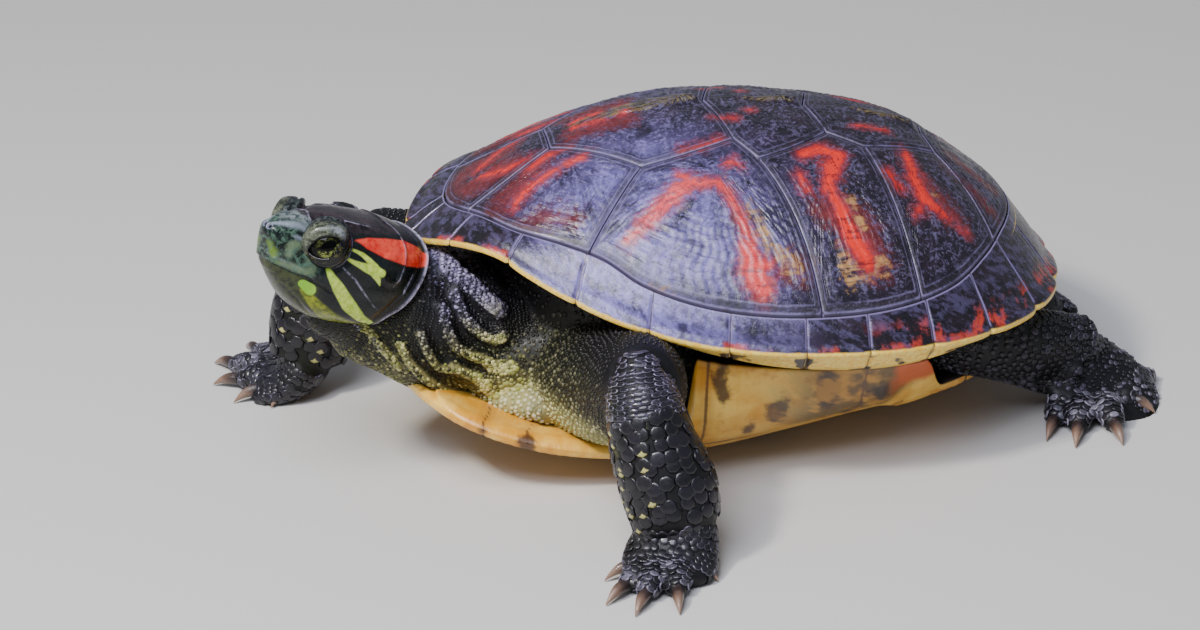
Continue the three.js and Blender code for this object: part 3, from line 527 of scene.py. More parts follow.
for plate, (around_plate, centre) in plates.items():
    for side in (1,) if plate.startswith("v") else (1, -1):
        name = (
            plate if plate.startswith("v")
            else plate.replace("pleural", "pleural_left" if side == 1 else "pleural_right")
        )
        ring = np.vstack([around_plate, around_plate[:1]])
        run = np.concatenate([[0], np.cumsum(np.linalg.norm(np.diff(ring, axis=0), axis=1))])
        around = int(run[-1] / edge_step)
        ring = np.stack(
            [np.interp(np.arange(around) * run[-1] / around, run, ring[:, k]) for k in (0, 1)], -1
        )
        centre = np.array(centre, float)
        outwards = ring - centre
        far = np.linalg.norm(outwards, axis=1)
        tangent = np.roll(ring, -1, 0) - np.roll(ring, 1, 0)
        square = (
            np.abs(outwards[:, 0] * tangent[:, 1] - outwards[:, 1] * tangent[:, 0])
            / (far * np.linalg.norm(tangent, axis=1))
        )
        reach = np.concatenate([
            np.linspace(0.03, 0.9, int(far.max() / ring_step)), np.linspace(0.91, 1, 16)
        ])[:, None]
        gap = seam_gap / (far * square)
        plan = centre + outwards * (reach * (1 - gap))[..., None]
        rows = np.vstack([ring, ring[:1]])
        flat = plan.reshape(-1, 2)
        near = np.full(len(flat), 99.0)
        for a, b in zip(rows[:-1:2], rows[2::2]):
            ab = b - a
            t = np.clip(((flat - a) @ ab) / (ab @ ab), 0, 1)
            near = np.minimum(near, np.hypot(*(flat - a - t[:, None] * ab).T))
        rise = 0.42 * (1 - np.exp(-near / 2.8)) - 0.42 * np.exp(-near / 0.2) + 0.06 * bell(near - 1.2, 0.5)
        steps = np.repeat(reach, around, 1).ravel()
        turn = np.repeat((np.arange(around) / around)[None], len(reach), 0).ravel()
        wave = np.sin(flat[:, 0] * 0.9 + flat[:, 1] * 0.5) + np.sin(flat[:, 1] * 1.3 - flat[:, 0] * 0.4)
        rise += 0.07 * np.sin(near * 3.4 + wave * 0.8) * smooth(near, 0.8, 2.0) * smooth(steps, 0.15, 0.5)
        rise += (
            0.06 * np.sin(turn * 2 * np.pi * 46 + np.sin(near) * 2) * smooth(steps, 0.3, 0.6)
            * smooth(near, 0.6, 2.0)
        )
        rise += 0.06 * wave * smooth(near, 1, 3)
        wedge = np.full(len(flat), 9.0)
        if plate in keel_wedges:
            knob, front = keel_wedges[plate]
            t = (flat[:, 0] - knob) / (front - knob)
            wedge = (
                np.abs(flat[:, 1])
                - (1.0 + 5.0 * np.clip(t, 0, 1.2)) * (1.0 if plate == "vertebral_2" else 0.45)
            )
            wedge = np.where(t < -0.02, 9.0, wedge) + 8 * np.clip(t - 0.45, 0, 1)
            rise += (
                0.55 * smooth(wedge, 0.4, -0.6) * smooth(t, 1.05, 0.7)
                + 0.9 * np.exp(-(flat[:, 1] ** 2) / 4 - (t * 3.2) ** 2) * smooth(t, -0.12, 0.02)
            )
        top = np.stack(
            [flat[:, 0], flat[:, 1], dome(flat[:, 0], flat[:, 1]) + rise], -1
        ).reshape(len(reach), around, 3)
        rings = np.concatenate([top, top[-1:] - [0, 0, plate_depth]])
        V, quads, fans = closed(rings, (None, [*centre, dome(*centre) - plate_depth - 0.6]))
        field = lambda values: np.concatenate([values, values[-around:], values[:1], values[-1:]])
        X, Y = flat[:, 0], -np.abs(flat[:, 1])
        mirrored = np.stack([X, Y], -1)
        # Where the painted sheen lies: a painted reflection over the front plates, the same on both sides.
        painted_sheen = (
            np.exp(-(((X + 23) / 24) ** 2) - (((Y + 42) / 17) ** 2))
            + 0.5 * np.exp(-(((X + 30) / 18) ** 2) - (((Y + 22) / 12) ** 2))
        )
        if side == -1:
            V = V * [1, -1, 1]
            quads, fans = quads[:, ::-1], fans[:, ::-1]
        piece = shape(
            name + "_horn", stand(V), [quads, fans],
            {
                "edge": field(near), "turn": field(turn), "reach": field(steps),
                "red": field(figure(mirrored, red_marks)), "rust": field(figure(mirrored, rust_marks)),
                "gold": field(figure(mirrored, gold_marks)), "painted_sheen": field(np.clip(painted_sheen, 0, 1)),
                "keel": field(wedge)
            }
        )
        piece.data.materials.append(horn)
        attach(piece, "root")
        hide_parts(name)


# ---------------------------------------------------------------- edge plates
# Twelve plates down each edge and a narrow one over the neck, fused side by side.  Their upper
# faces are dark, the rounded lip and the underside are yellow with a dark blotch at each seam,
# and towards the tail each plate ends in a small point.
seam_steps = np.array([4.1, 20.5, 19.4, 18.8, 19, 19.8, 19, 16, 17, 17.8, 20.4, 20.9, 20.2])
seams = np.cumsum(seam_steps) / seam_steps.sum()
before_first, lip_at, seam_half = -0.02, 0.385, 0.0006
under_width = knots([0, 0.25, 0.38, 0.5, 0.68, 0.8, 1], [9.5, 9.5, 8, 6.4, 6.4, 9, 10])
under_drop = knots([0, 0.25, 0.38, 0.5, 0.66, 0.78, 1], [1.2, 0.5, -3.5, -6, -6, -1, 0.6])


def spline(P, t):
    """Curve through the points along the first axis, at t from 0 to 1, with the Catmull-Rom weights of
    the four nearest points."""
    P = np.asarray(P, float)
    n = len(P)
    u = np.asarray(t) * (n - 1)
    i = np.clip(u.astype(int), 0, n - 2)
    x = (u - i).reshape((-1,) + (1,) * (P.ndim - 1))
    Q = np.concatenate([2 * P[:1] - P[1:2], P, 2 * P[-1:] - P[-2:-1]])
    a, b, c, d = Q[i], Q[i + 1], Q[i + 2], Q[i + 3]
    return 0.5 * (2 * b + (c - a) * x + (2 * a - 5 * b + 4 * c - d) * x**2 + (3 * b - a - 3 * c + d) * x**3)


def even_steps(marks, counts):
    """Stations along a line: from each mark a count of even steps to the next, and the last mark."""
    spans = zip(marks[:-1], marks[1:], counts)
    return np.concatenate([np.linspace(a, b, n, endpoint=False) for a, b, n in spans] + [marks[-1:]])


def over_ends(fields):
    """Values at a closed grid's points: the grid's own, and for its two tips the mean of each end row."""
    return {key: np.concatenate([a.ravel(), [a[0].mean(), a[-1].mean()]]) for key, a in fields.items()}


def edge_plates(name, f, marks, replaced, side):
    """A row of edge plates: a closed section, from the dome's line over the lip and back under, carried
    along fractions f of the rim."""
    x, y, nx, ny = rim(f)
    w = margin_width(f) - 0.15
    wu = under_width(f)
    zr = rim_height(x)
    zi = dome(*inner_line(f))
    h = zi - zr
    cuts = np.concatenate([[before_first], marks])
    cell = np.clip(np.searchsorted(cuts, f, side="right") - 1, 0, len(cuts) - 2)
    t = np.clip((f - cuts[cell]) / (cuts[cell + 1] - cuts[cell]), 0, 1)
    beside = np.minimum(np.abs(f[:, None] - marks[None]).min(1), 1) * rim_length
    notch = (0.35 + 1.3 * np.clip((f - 0.55) / 0.45, 0, 1)) * np.abs(2 * t - 1) ** 5 + 0.25
    rounds = [
        (w, zi - 0.5), (w * 0.75, zr + h * 0.68 + 0.3), (w * 0.45, zr + h * 0.36 + 0.45),
        (w * 0.2 + 0.6, zr + h * 0.13 + 0.5), (notch + 0.35, zr + 0.2), (notch, zr - 0.7),
        (notch + 0.5, zr - 1.55), (wu * 0.3 + notch, zr + under_drop(f) * 0.25 - 1.6),
        (wu * 0.6, zr + under_drop(f) * 0.62 - 1.0), (wu, zr + under_drop(f)),
        (wu + 0.3, zr + under_drop(f) + 1.2), (w * 0.8 + 0.5, zi - 3.2), (w + 0.05, zi - 2.6)
    ]
    P = np.stack([np.stack([a + 0 * f, b + 0 * f], -1) for a, b in rounds])
    v = even_steps([0, 0.26, 0.56, 0.76, 1], [20, 22, 12, 6])
    S = spline(P, v).transpose(1, 0, 2)
    face = smooth(v, 0.02, 0.1) * (1 - smooth(v, 0.7, 0.78))
    dip = 0.42 * bell(beside[:, None], 0.38) * face
    d = np.gradient(S, axis=1)
    d /= np.linalg.norm(d, axis=2, keepdims=True) + 1e-9
    out = np.stack([-d[..., 1], d[..., 0]], -1)
    out *= np.sign(((S - S.mean(1, keepdims=True)) * out).sum(2).mean())
    ripple = (
        0.02 * np.sin(beside * 2.6 + f * 40)[:, None] * smooth(v, 0.03, 0.1) * (1 - smooth(v, 0.3, 0.4))
    )
    S = S + out * (ripple - dip)[..., None]
    run = np.concatenate(
        [np.zeros((len(f), 1)), np.cumsum(np.linalg.norm(np.diff(S, axis=1), axis=2), axis=1)], 1
    )
    lip = run[:, [int(np.argmin(abs(v - lip_at)))]] - run
    plan = np.stack(
        [
            x[:, None] + nx[:, None] * S[..., 0],
            np.minimum(-0.12 * (side != 0), y[:, None] + ny[:, None] * S[..., 0]), S[..., 1]
        ],
        -1
    )
    near = np.minimum(beside[:, None], np.where(v < 0.4, run, 9))
    fields = {
        "edge": near, "lip": lip, "along": np.repeat(f[:, None] * rim_length, len(v), 1),
        "within": np.repeat(t[:, None], len(v), 1),
        # Where a lavender sheen is painted on the front edge plates: a painted reflection of the sky.
        "painted_sheen": (bell(x[:, None] + 30, 24) * smooth(x[:, None], -58, -50)) * np.ones_like(lip),
        "rear": smooth(x, 15, 45)[:, None] * np.ones_like(lip)
    }
    if side == 0:
        plan = np.concatenate([plan, plan[::-1][1:] * [1, -1, 1]])
        fields = {k: np.concatenate([a, a[::-1][1:]]) for k, a in fields.items()}
    V, quads, fans = closed(plan)
    fields = over_ends(fields)
    if side == 1:
        V, quads, fans = V * [1, -1, 1], quads[:, ::-1], fans[:, ::-1]
    piece = shape(name, stand(V), [quads, fans], fields)
    piece.data.materials.append(edge_horn)
    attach(piece, "root")
    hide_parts(replaced)


def edge_finish():
    """Edge horn: dark above with lavender streaks and a red flush near the tail, yellow lip and underside
    with dark blotches at the seams, and a painted lavender sheen, a painted reflection, on the front
    plates."""
    f = Finish("edge_horn")
    edge, lip, along = f.field("edge"), f.field("lip"), f.field("along")
    cloud, fine = f.noise(0.2, 4, 0.6), f.noise(1.1, 4, 0.6)
    streak = f.noise(
        1.0, 4, 0.65, at=f.vector(along * 0.3 + lip * 0.4, lip * 0.22 - along * 0.1, cloud * 3.0)
    )
    # Lavender painted sheen on the front plates, a painted reflection, with streaks through it.
    painted_sheen = f.field("painted_sheen")
    base = f.mix(f.ease(cloud, 0.35, 0.7), (14, 10, 18), (34, 20, 30))
    base = f.mix(f.ease(streak + fine * 0.2, 0.54, 0.72) * (0.3 + painted_sheen * 0.5), base, (112, 102, 150))
    base = f.mix(painted_sheen * f.ease(cloud + streak * 0.5, 0.45, 0.85) * 0.85, base, f.mix(fine, *lavender))
    base = f.mix(f.ease(streak - fine * 0.15, 0.44, 0.34) * painted_sheen * 0.6, base, (66, 56, 92))
    patch = f.noise(0.17, 2, 0.5, at=f.vector(along, lip * 0.8, 3.0))
    base = f.mix(
        f.ease(patch + (fine - 0.5) * 0.3 + (streak - 0.5) * 0.2, 0.52, 0.66) * f.field("rear")
        * f.ease(lip, 8.0, 4.0) * 0.85, base, f.mix(fine, (150, 34, 34), (222, 74, 40))
    )
    base = f.mix(
        f.ease(edge + (fine - 0.5) * 0.3, 0.62, 0.25) * f.ease(lip, 0.5, 1.5) * 0.7, base, pale_seam
    )
    ragged = (fine - 0.5) * 1.4 + (streak - 0.5) * 1.6
    fringe = (
        f.ease(lip + ragged * 1.4, 2.2, 0.9)
        * f.ease(f.noise(0.09, 2, at=f.vector(along, 0.0, 8.0)) + (fine - 0.5) * 0.14, 0.55, 0.63)
    )
    base = f.mix(fringe * 0.75, base, (196, 64, 46))
    yellow = f.mix(f.ease(fine, 0.3, 0.7), (246, 190, 52), (255, 226, 112))
    base = f.mix(f.ease(lip + ragged * 0.3, 0.55, 0.0), base, yellow)
    blotch = (
        f.ease(
            f.noise(0.14, 2, 0.5, at=f.vector(along, lip, 1.0)) + (f.field("within") - 0.5) ** 2.0 * 1.1
            + fine * 0.08, 0.68, 0.74
        )
        * f.ease(lip, -0.9, -1.8)
    )
    base = f.mix(blotch, base, (44, 32, 24))
    base = f.mix(f.ease(edge, 0.2, 0.06) * 0.85, base, (52, 38, 34))
    return f.done(
        base, f.ease(fine, 0.3, 0.7) * 0.14 + 0.26, streak * 0.8 + fine * 0.5, 0.24, IOR=1.5,
        Coat_Weight=0.2, Coat_Roughness=0.16
    )


edge_horn = edge_finish()
row = even_steps(seams, [62] * (len(seams) - 1))
row[0] += seam_half
for name, side in (("marginals_left", -1), ("marginals_right", 1)):
    edge_plates(name + "_horn", row, seams, name, side)
edge_plates(
    "nuchal_horn", np.linspace(seams[0] - seam_half, 0, 24), np.array([before_first, seams[0]]), "nuchal",
    0
)


# ---------------------------------------------------------------- plastron
# The belly plate of six pairs of horny scutes on flat bone: one rigid piece, joined to the dome
# by a bridge at each flank.  Yellow horn with a dark smudge on each scute.  The bridges carry dark
# bands under a painted shade, and the inner face is painted dark as the shade inside the shell.
low_height = knots(
    [-76, -68, -56, -44, -30, -12, 8, 27, 44, 62], [3, 0.4, -3.6, -6.2, -7.4, -6.6, -3.4, 0, 2.6, 6]
)
lobe = knots(
    [-76, -73, -66, -54, -40, -20, 0, 20, 40, 52, 60, 62],
    [15, 22, 31, 35.5, 37.5, 38, 37, 35, 32, 27, 17, 12]
)
x = even_steps([-76, -68, -19, -13, 26, 46, 57, 62], [22, 80, 26, 70, 70, 22, 15])
bridge_ends = (31, 38), (36, 44), (27, 34)
on, on_rim, on_low = (smooth(x, -17.3, -14.9) * (1 - smooth(x, *end)) for end in bridge_ends)
w, low = lobe(x), low_height(x)
bridge_top, bridge_side = rim_height(x) - 7.2, half_outline(x) - 7.2
bone = 3.6
thick = bone * np.where((x < -70) | (x > 58), 0.8, 1)
blend = lambda a, b, share=on: a * share + b * (1 - share)
W, Z = blend(bridge_side, w + 0.8, on_rim), blend(bridge_top, low + 1.2, on_rim)
k = 0.5 - 0.05 * on
half_way = blend(bridge_side, w + 0.8, on_low), blend(bridge_top, low + 1.2, on_low)
outer = [
    (W, Z + 0.6 - 0.2 * on),
    (w + (half_way[0] - w) * k + 1.2 * on_low, low + (half_way[1] - low) * k - 0.3 - 1.3 * on_low),
    (w - 1.5, low + 0.2), (w * 0.75, low - 0.05), (w * 0.5, low - 0.2), (w * 0.25, low - 0.2)
]
inside = [
    (blend(W - 3.6, w, on_rim), blend(Z + 0.2, low + thick * 0.75, on_rim)),
    (
        blend(w + (half_way[0] - w) * 0.45 - 2.6, w - 1.6, on_low),
        blend(low + (half_way[1] - low) * 0.45 + 2, low + thick * 0.95, on_low)
    ),
    (blend(w - 3.6, w - 4), low + thick + 0.6 * on), (w * 0.5, low + thick)
]
half = [np.stack([x, -a, b], -1) for a, b in outer] + [np.stack([x, 0 * x, low - 0.2], -1)]
mirror = [p * [1, -1, 1] for p in half[:-1][::-1]]
upper = [np.stack([x, a, b], -1) for a, b in inside]
loop = (
    half + mirror + upper + [np.stack([x, 0 * x, low + thick], -1)]
    + [p * [1, -1, 1] for p in upper[::-1]]
)
v = even_steps([0, 12, 22], [150, 40])[:-1] / 22
grid = spline(np.stack(loop + loop[:1]), v).transpose(1, 0, 2)
cross_seams = np.array([-55.0, -45.0, -13.0, 22.0, 47.0])
below = (v < 12 / 22) & (v > 0)
wobble = 0.9 * np.sin(grid[..., 1] * 0.16) + 0.4 * np.sin(grid[..., 1] * 0.5)
bow = (np.abs(grid[..., 1]) / 38) ** 2 * np.array([-6.0, -6.0, 0.0, 0.0, 5.0])[:, None, None]
across = np.abs(grid[..., 0] + wobble - cross_seams[:, None, None] - bow).min(0)
flank = np.where(on[:, None] > 0.5, np.abs(np.abs(grid[..., 1]) - w[:, None] - 0.5), 9.0)
near = np.minimum(np.minimum(across, np.abs(grid[..., 1] + 0.5 * np.sin(grid[..., 0] * 0.2))), flank)
grid[..., 2] += (0.35 * bell(near, 0.4) - 0.05 * np.sin(near * 2.8) * smooth(near, 0.5, 2)) * below
scute_spots = [
    [-69, -9, 2.4], [-52, -17, 4.0], [-28, -21, 5.0], [4, -20, 6.0], [34, -16, 4.6], [54, -9, 3.0]
]
edge_spots = [[-61.5, -35.5, 0.6], [-51.0, -37.5, 1.1], [-73.0, -21, 0.4]]
bridge_spots = [
    [-9, -46, 1.8], [4, -45, 2.6], [14, -47, 3.0], [26, -44, 2.2], [-2, -41, 1.6], [20, -40, 1.6]
]
folded = np.stack([grid[..., 0].ravel(), -np.abs(grid[..., 1].ravel())], -1)
spot = figure(folded, [[s] for s in scute_spots + edge_spots + bridge_spots]).reshape(grid.shape[:2])
V, quads, fans = closed(grid)
fields = {
    # within: the inner face, painted dark as painted shade in the hollow under the shell.
    "edge": near, "within": smooth(v, 12.4 / 22, 13.0 / 22) * smooth(x, -22, -16)[:, None], "spot": spot,
    "bridge": smooth(np.abs(grid[..., 1]), 37, 41) * on[:, None],
    "rust": np.hypot(grid[..., 0] - 37, np.abs(grid[..., 1]) - 47),
    "along": grid[..., 0] + grid[..., 1] * 0.5, "across": grid[..., 1] - grid[..., 0] * 0.3
}
belly = shape("plastron_horn", stand(V), [quads, fans], over_ends(fields))
f = Finish("belly_horn")
edge_tone, spot_tone = f.field("edge"), f.field("spot")
cloud, fine = f.noise(0.08, 4, 0.6), f.noise(0.8, 4, 0.6)
base = f.mix(f.ease(cloud, 0.36, 0.66), (222, 156, 40), (250, 206, 98))
base = f.mix(f.ease(f.noise(0.22, 3), 0.55, 0.75) * 0.5, base, (176, 84, 22))
base = f.mix(f.ease(edge_tone, 2.6, 0.4) * 0.35, base, (168, 96, 36))
base = f.mix(
    f.ease(spot_tone + (cloud - 0.5) * 9.0 + (fine - 0.5) * 2.0, 0.8, -0.8) * 0.88, base, (62, 42, 30)
)
# The bridge darkened: dark bands of its own under a painted shade, as it lies in the shell's shadow.
base = f.mix(
    f.field("bridge") * f.ease(f.field("along") + cloud * 16, -20, 2) * 0.85, base,
    f.mix(
        f.ease(
            f.noise(0.13, 3, 0.6, at=f.vector(f.field("along") * 0.5, f.field("across") * 1.6)), 0.5, 0.6
        ),
        (30, 20, 10), (168, 118, 32)
    )
)
base = f.mix(f.ease(f.field("rust") + (cloud - 0.5) * 9, 9, 6), base, (196, 88, 22))
base = f.mix(f.ease(edge_tone + (fine - 0.5) * 0.4, 0.5, 0.2) * 0.8, base, (86, 54, 34))
# Painted shade: the plastron's inner face darkened as the hollow under the shell.
base = f.mix(f.field("within"), base, (26, 20, 15))
belly.data.materials.append(f.done(
    base, f.ease(fine, 0.3, 0.7) * 0.14 + 0.3,
    f.noise(0.5, 3, at=f.vector(edge_tone * 1.6, 0.0, 0.0)) + fine * 0.4, 0.16, IOR=1.5, Coat_Weight=0.2,
    Coat_Roughness=0.2
))
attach(belly, "root")
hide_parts("plastron")


# ---------------------------------------------------------------- limbs and neck
# Flesh of the neck, legs, feet, tail and the trunk inside the shell: closed tubes along smooth
# lines, grown together into one body.  The neck's loose skin hangs in J-shaped folds.
def unit_length(v):
    """Vectors along the last axis, each brought to length 1."""
    return v / np.linalg.norm(v, axis=-1, keepdims=True)


def circle(n):
    """Angles of n even steps round a circle."""
    return 2 * np.pi * np.arange(n) / n


def tube(points, around, n, up, exponent=1.0):
    """Rings along a smooth line through points (x, y, z, half width, half thickness), the thickness lying
    in the plane of up."""
    P, u = np.array(points, float), np.linspace(0, 1, n)
    o, size = spline(P[:, :3], u), spline(P[:, 3:5], u)
    d = unit_length(np.gradient(o, axis=0))
    s = unit_length(np.cross(d, np.array(up, float)))
    t, a = np.cross(s, d), circle(around)
    c, z = (np.sign(g) * np.abs(g) ** exponent for g in (np.cos(a), np.sin(a)))
    return (
        o[:, None] + s[:, None] * (size[:, :1] * c)[..., None] + t[:, None] * (size[:, 1:] * z)[..., None]
    )


def rounded(rings, ends=(0.5, 0.5), steps=4):
    """Adds domed caps to a tube: each end ring shrinks along a quarter circle as it moves outwards by
    ends times its size."""
    caps = []
    for first, second, bulge in ((rings[0], rings[1], ends[0]), (rings[-1], rings[-2], ends[1])):
        mid = first.mean(0)
        out = mid - second.mean(0)
        out *= bulge * np.linalg.norm(first - mid, axis=1).mean() / np.linalg.norm(out)
        a = np.arange(1, steps) * np.pi / 2 / steps
        caps.append(mid + (first - mid) * np.cos(a)[:, None, None] + out * np.sin(a)[:, None, None])
    return np.concatenate([caps[0][::-1], rings, caps[1]])


def toe(root, tip, width, claw=7.5, rise=1.4, clawed=True):
    """A digit from its root to the tip of its claw: root, raised knuckle and end of the flesh, each a
    point with half width and half thickness."""
    a, b = np.array(root, float), np.array(tip, float)
    run = np.linalg.norm(b - a)
    end = a + (b - a) * (run - claw * clawed) / run
    knuckle = a + (end - a) * 0.55
    low = width * 0.72 - 0.25
    end[2] = max(low, end[2] + 0.4) if clawed else low
    knuckle[2] = max(knuckle[2], width) + rise * 0.5
    return [[*a, width * 1.15, width], [*knuckle, width * 1.08, width], [*end, width * 0.8, width * 0.72]]


neck_line = [
    [-96, -20, 45, 2.5, 2.5], [-93, -19, 44, 7, 6.5], [-85.8, -14.4, 42.6, 11, 12],
    [-78.8, -11.2, 38.2, 13, 13.4], [-71, -9.5, 35, 14.6, 16], [-61, -5, 30, 17.6, 16.8],
    [-48, -2, 27.5, 17, 13.5]
]
arms = {
    "left": (
        [
            [-36, -20, 20, 13, 13], [-31, -34, 24, 13, 13.5], [-27.5, -50, 31, 11, 12],
            [-27, -59, 34, 9, 10]
        ],
        [
            [-28.3, -62.5, 40.5, 4.6, 5], [-28.2, -65, 35.5, 7.6, 8], [-27, -69, 26, 9.2, 9],
            [-24.6, -73, 17, 10.3, 8.8], [-23.8, -76.5, 9.6, 9.2, 7]
        ],
        [
            [-23.9, -76, 9.2, 8.8, 6], [-24.8, -78.5, 5.6, 9.4, 5.2], [-26.6, -82.5, 3.6, 10.2, 3.6],
            [-27.8, -86, 2.7, 9, 2.8]
        ],
        (0, -0.5, 1)
    ),
    "right": (
        [[-42, 20, 20, 12, 12], [-52, 26, 24, 12, 12], [-66, 32.5, 30, 11, 11], [-78, 35.5, 34, 8.5, 9]],
        [
            [-84, 37, 40.5, 4.6, 5], [-86, 36.2, 36, 7.8, 8], [-90, 34.4, 27, 9.6, 9],
            [-93, 32.4, 17.5, 10.2, 8.8], [-95.4, 31, 9.8, 9, 6.9]
        ],
        [
            [-95.4, 31.2, 9.3, 8.6, 6], [-98, 32, 5.8, 9.2, 5.2], [-102, 34, 3.6, 10.2, 3.6],
            [-105.4, 36, 2.7, 9, 2.8]
        ],
        (-0.5, 0, 1)
    )
}
toes = {
    "hand_left": [
        ((-29.5, -78.5, 3.4), (-40.8, -81, 0.3), 2.5), ((-30, -81, 3.4), (-42, -92, 0.3), 2.7),
        ((-28.5, -83, 3.4), (-36.6, -98.4, 0.3), 2.7), ((-25.5, -83, 3.4), (-27.3, -100, 0.3), 2.7),
        ((-22, -80.5, 3.4), (-17, -87.5, 0.3), 2.5)
    ],
    "hand_right": [
        ((-99.5, 29, 3.4), (-105.5, 24, 0.3), 2.5, 6), ((-103, 30.5, 3.4), (-114, 29.2, 0.3), 2.7),
        ((-105, 34.5, 3.4), (-118.2, 40.5, 0.3), 2.7), ((-104.5, 38.5, 3.4), (-117.2, 52.5, 0.3), 2.7),
        ((-101.5, 41.5, 3.4), (-109.2, 60, 0.3), 2.5)
    ]
}
hind_toes = [
    ((72, 28, 3.4), (65.5, 40.5, 0.3), 2.6), ((76, 30.5, 3.4), (71, 45.5, 0.3), 2.9),
    ((81, 31, 3.4), (81.5, 47, 0.3), 2.9), ((86, 28.5, 3.2), (92.5, 33, 0.3), 2.8, 6),
    ((88, 24.5, 3), (95.5, 15.5, 1.2), 2.3, 0, 0.8, False)
]
hind_leg = [
    [37, 15, 21.5, 9, 8.4], [46, 23, 22.6, 9.4, 8], [54, 26.6, 21.4, 9, 7.2], [63, 25, 17.6, 9, 7],
    [71, 21.4, 13, 9.6, 7], [77, 18.5, 10, 9.8, 6.4]
]
hind_pad = [
    [78.8, 18, 9.4, 9.8, 6], [81.6, 20, 7.2, 13.4, 5], [81.8, 25, 4.8, 14.6, 3.8], [80, 31, 2.9, 13, 2.6]
]
legs = {}
for side, turned, shift in (("left", -1, (0, 0)), ("right", 1, (-9, 7))):
    move = lambda p: [p[0] + shift[0], turned * p[1] + shift[1], *p[2:]]
    legs[side] = ([move(p) for p in hind_leg], [move(p) for p in hind_pad])
    toes["foot_" + side] = [(move(a), move(b), *rest) for a, b, *rest in hind_toes]
pockets = [
    [
        [-60, side * (14 + out), 22, 8, 7], [-50.5, side * (15 + out), 24, 8.5, 8],
        [-40.5, side * (16 + out), 26, 9, 9], [-32.5, side * 14, 30, 8, 8]
    ]
    for side, out in ((-1, 0), (1, 2))
]
skirts = [
    [[-60, side * 12, 17.6, 5, 3.4], [-52, side * 19, 16.4, 6, 3.4], [-43, side * 27, 17.2, 6, 4]]
    for side in (-1, 1)
]
tail_line = [
    [50, 1, 20, 7.2, 7], [58, 1.5, 17.6, 6.2, 5.8], [65, 2.4, 14.8, 4.8, 4.4], [71, 3.6, 12.2, 3, 2.8],
    [76, 5, 10.2, 1.3, 1.2]
]

folds = [
    [
        [-66.7, -9.5, 50], [-63.4, -15.5, 47.3], [-59.5, -16.9, 43.6], [-55.8, -17.9, 39.8],
        [-53.3, -18.5, 38]
    ],
    [
        [-63.2, -19.4, 43.5], [-62.1, -21, 39.3], [-59.6, -21.2, 35.5], [-56.2, -21.2, 32.7],
        [-52.8, -20.4, 32.6]
    ],
    [
        [-66.5, -21.9, 41.8], [-65.9, -22.8, 37.7], [-64.3, -22.8, 32.8], [-61.6, -22.3, 30.3],
        [-58.4, -21.8, 28.3], [-55.3, -21.2, 26.2], [-51.6, -20.2, 25.9]
    ],
    [
        [-72, -24.5, 37], [-70.5, -23.9, 32.3], [-68.6, -22.8, 28.3], [-65, -22.7, 27.3],
        [-62.3, -21.9, 25.3], [-59.3, -20.9, 23.2], [-56.6, -18.9, 20.3]
    ],
    [
        [-76.6, -25, 34.2], [-74.4, -23.2, 29.1], [-70.9, -21.1, 24.6], [-67.1, -19, 20.8],
        [-63.3, -16.9, 17.8]
    ],
    [[-85.1, -26.3, 40.8], [-81.1, -25.4, 34.9], [-77.1, -22.2, 28]]
]
fold_breadths = (2.3, 1.5, 1.5, 1.3, 1.2, 1.0)
neck = tube(neck_line, 260, 190, (0, 0, 1), 0.95)
axis = neck.mean(1, keepdims=True)
outwards = unit_length(neck - axis)
flat, push = neck.reshape(-1, 3), np.zeros(neck.shape[0] * neck.shape[1])
fold_tracks = []
for fold, breadth in zip(folds, fold_breadths):
    line = spline(fold, np.linspace(0, 1, 40))
    out = line - np.stack([np.interp(line[:, 0], axis[:, 0, 0], axis[:, 0, k]) for k in range(3)], -1)
    fold_tracks.append((line, unit_length(out), breadth))
    gap = flat[:, None] - line[None]
    away = np.linalg.norm(gap, axis=2)
    k = away.argmin(1)
    heading = np.gradient(line, axis=0)[k]
    off = flat - line[k]
    normal = outwards.reshape(-1, 3)
    side_of = np.sign(np.einsum("ij,ij->i", np.cross(heading, off), normal))
    d = np.linalg.norm(off - normal * np.einsum("ij,ij->i", off, normal)[:, None], axis=1)
    ends = np.sin(np.pi * np.clip(k / 39 * 0.8 + 0.15, 0, 1)) ** 0.6
    push += (
        ends
        * (
            1.15 * breadth * np.exp(-((d / breadth) ** 4))
            - 1.3 * bell(d - breadth - 1.2, 1.1) * (0.6 + 0.4 * side_of)
        )
    )
    mirror_away = np.linalg.norm(flat[:, None] - (line * [1, -1, 1] + [0, -16, 0])[None], axis=2).min(1)
    push += bell(mirror_away, 1.6) - 0.7 * bell(mirror_away - 2.7, 1.2)
neck = neck + outwards * np.clip(push, -1.8, 2.4).reshape(neck.shape[:2])[..., None]

inset = knots([0, 0.1, 0.2, 0.3, 0.42, 0.6, 0.8, 1], [18, 17.5, 16.5, 13, 10, 9, 11.5, 14])
flank_height = knots([0, 0.2, 0.36, 0.5, 0.68, 0.8, 1], [12, 8, 13, 17, 17, 11, 12])
q = np.concatenate([np.linspace(0, 1, 90), np.linspace(1, 0, 90)[1:-1]])
rx, ry, rnx, rny = rim(q)
rx, ry = rx + rnx * inset(q), np.minimum(0, ry + rny * inset(q))
ry = ry * np.where(np.arange(len(q)) < 90, 1, -1)


def trunk_ring(f, height):
    """A ring round the trunk at fraction f of its reach, its height given by a rule of place."""
    x, y = -4 + (rx + 4) * f, ry * f
    return np.stack([x, y, height(x, y)], -1)


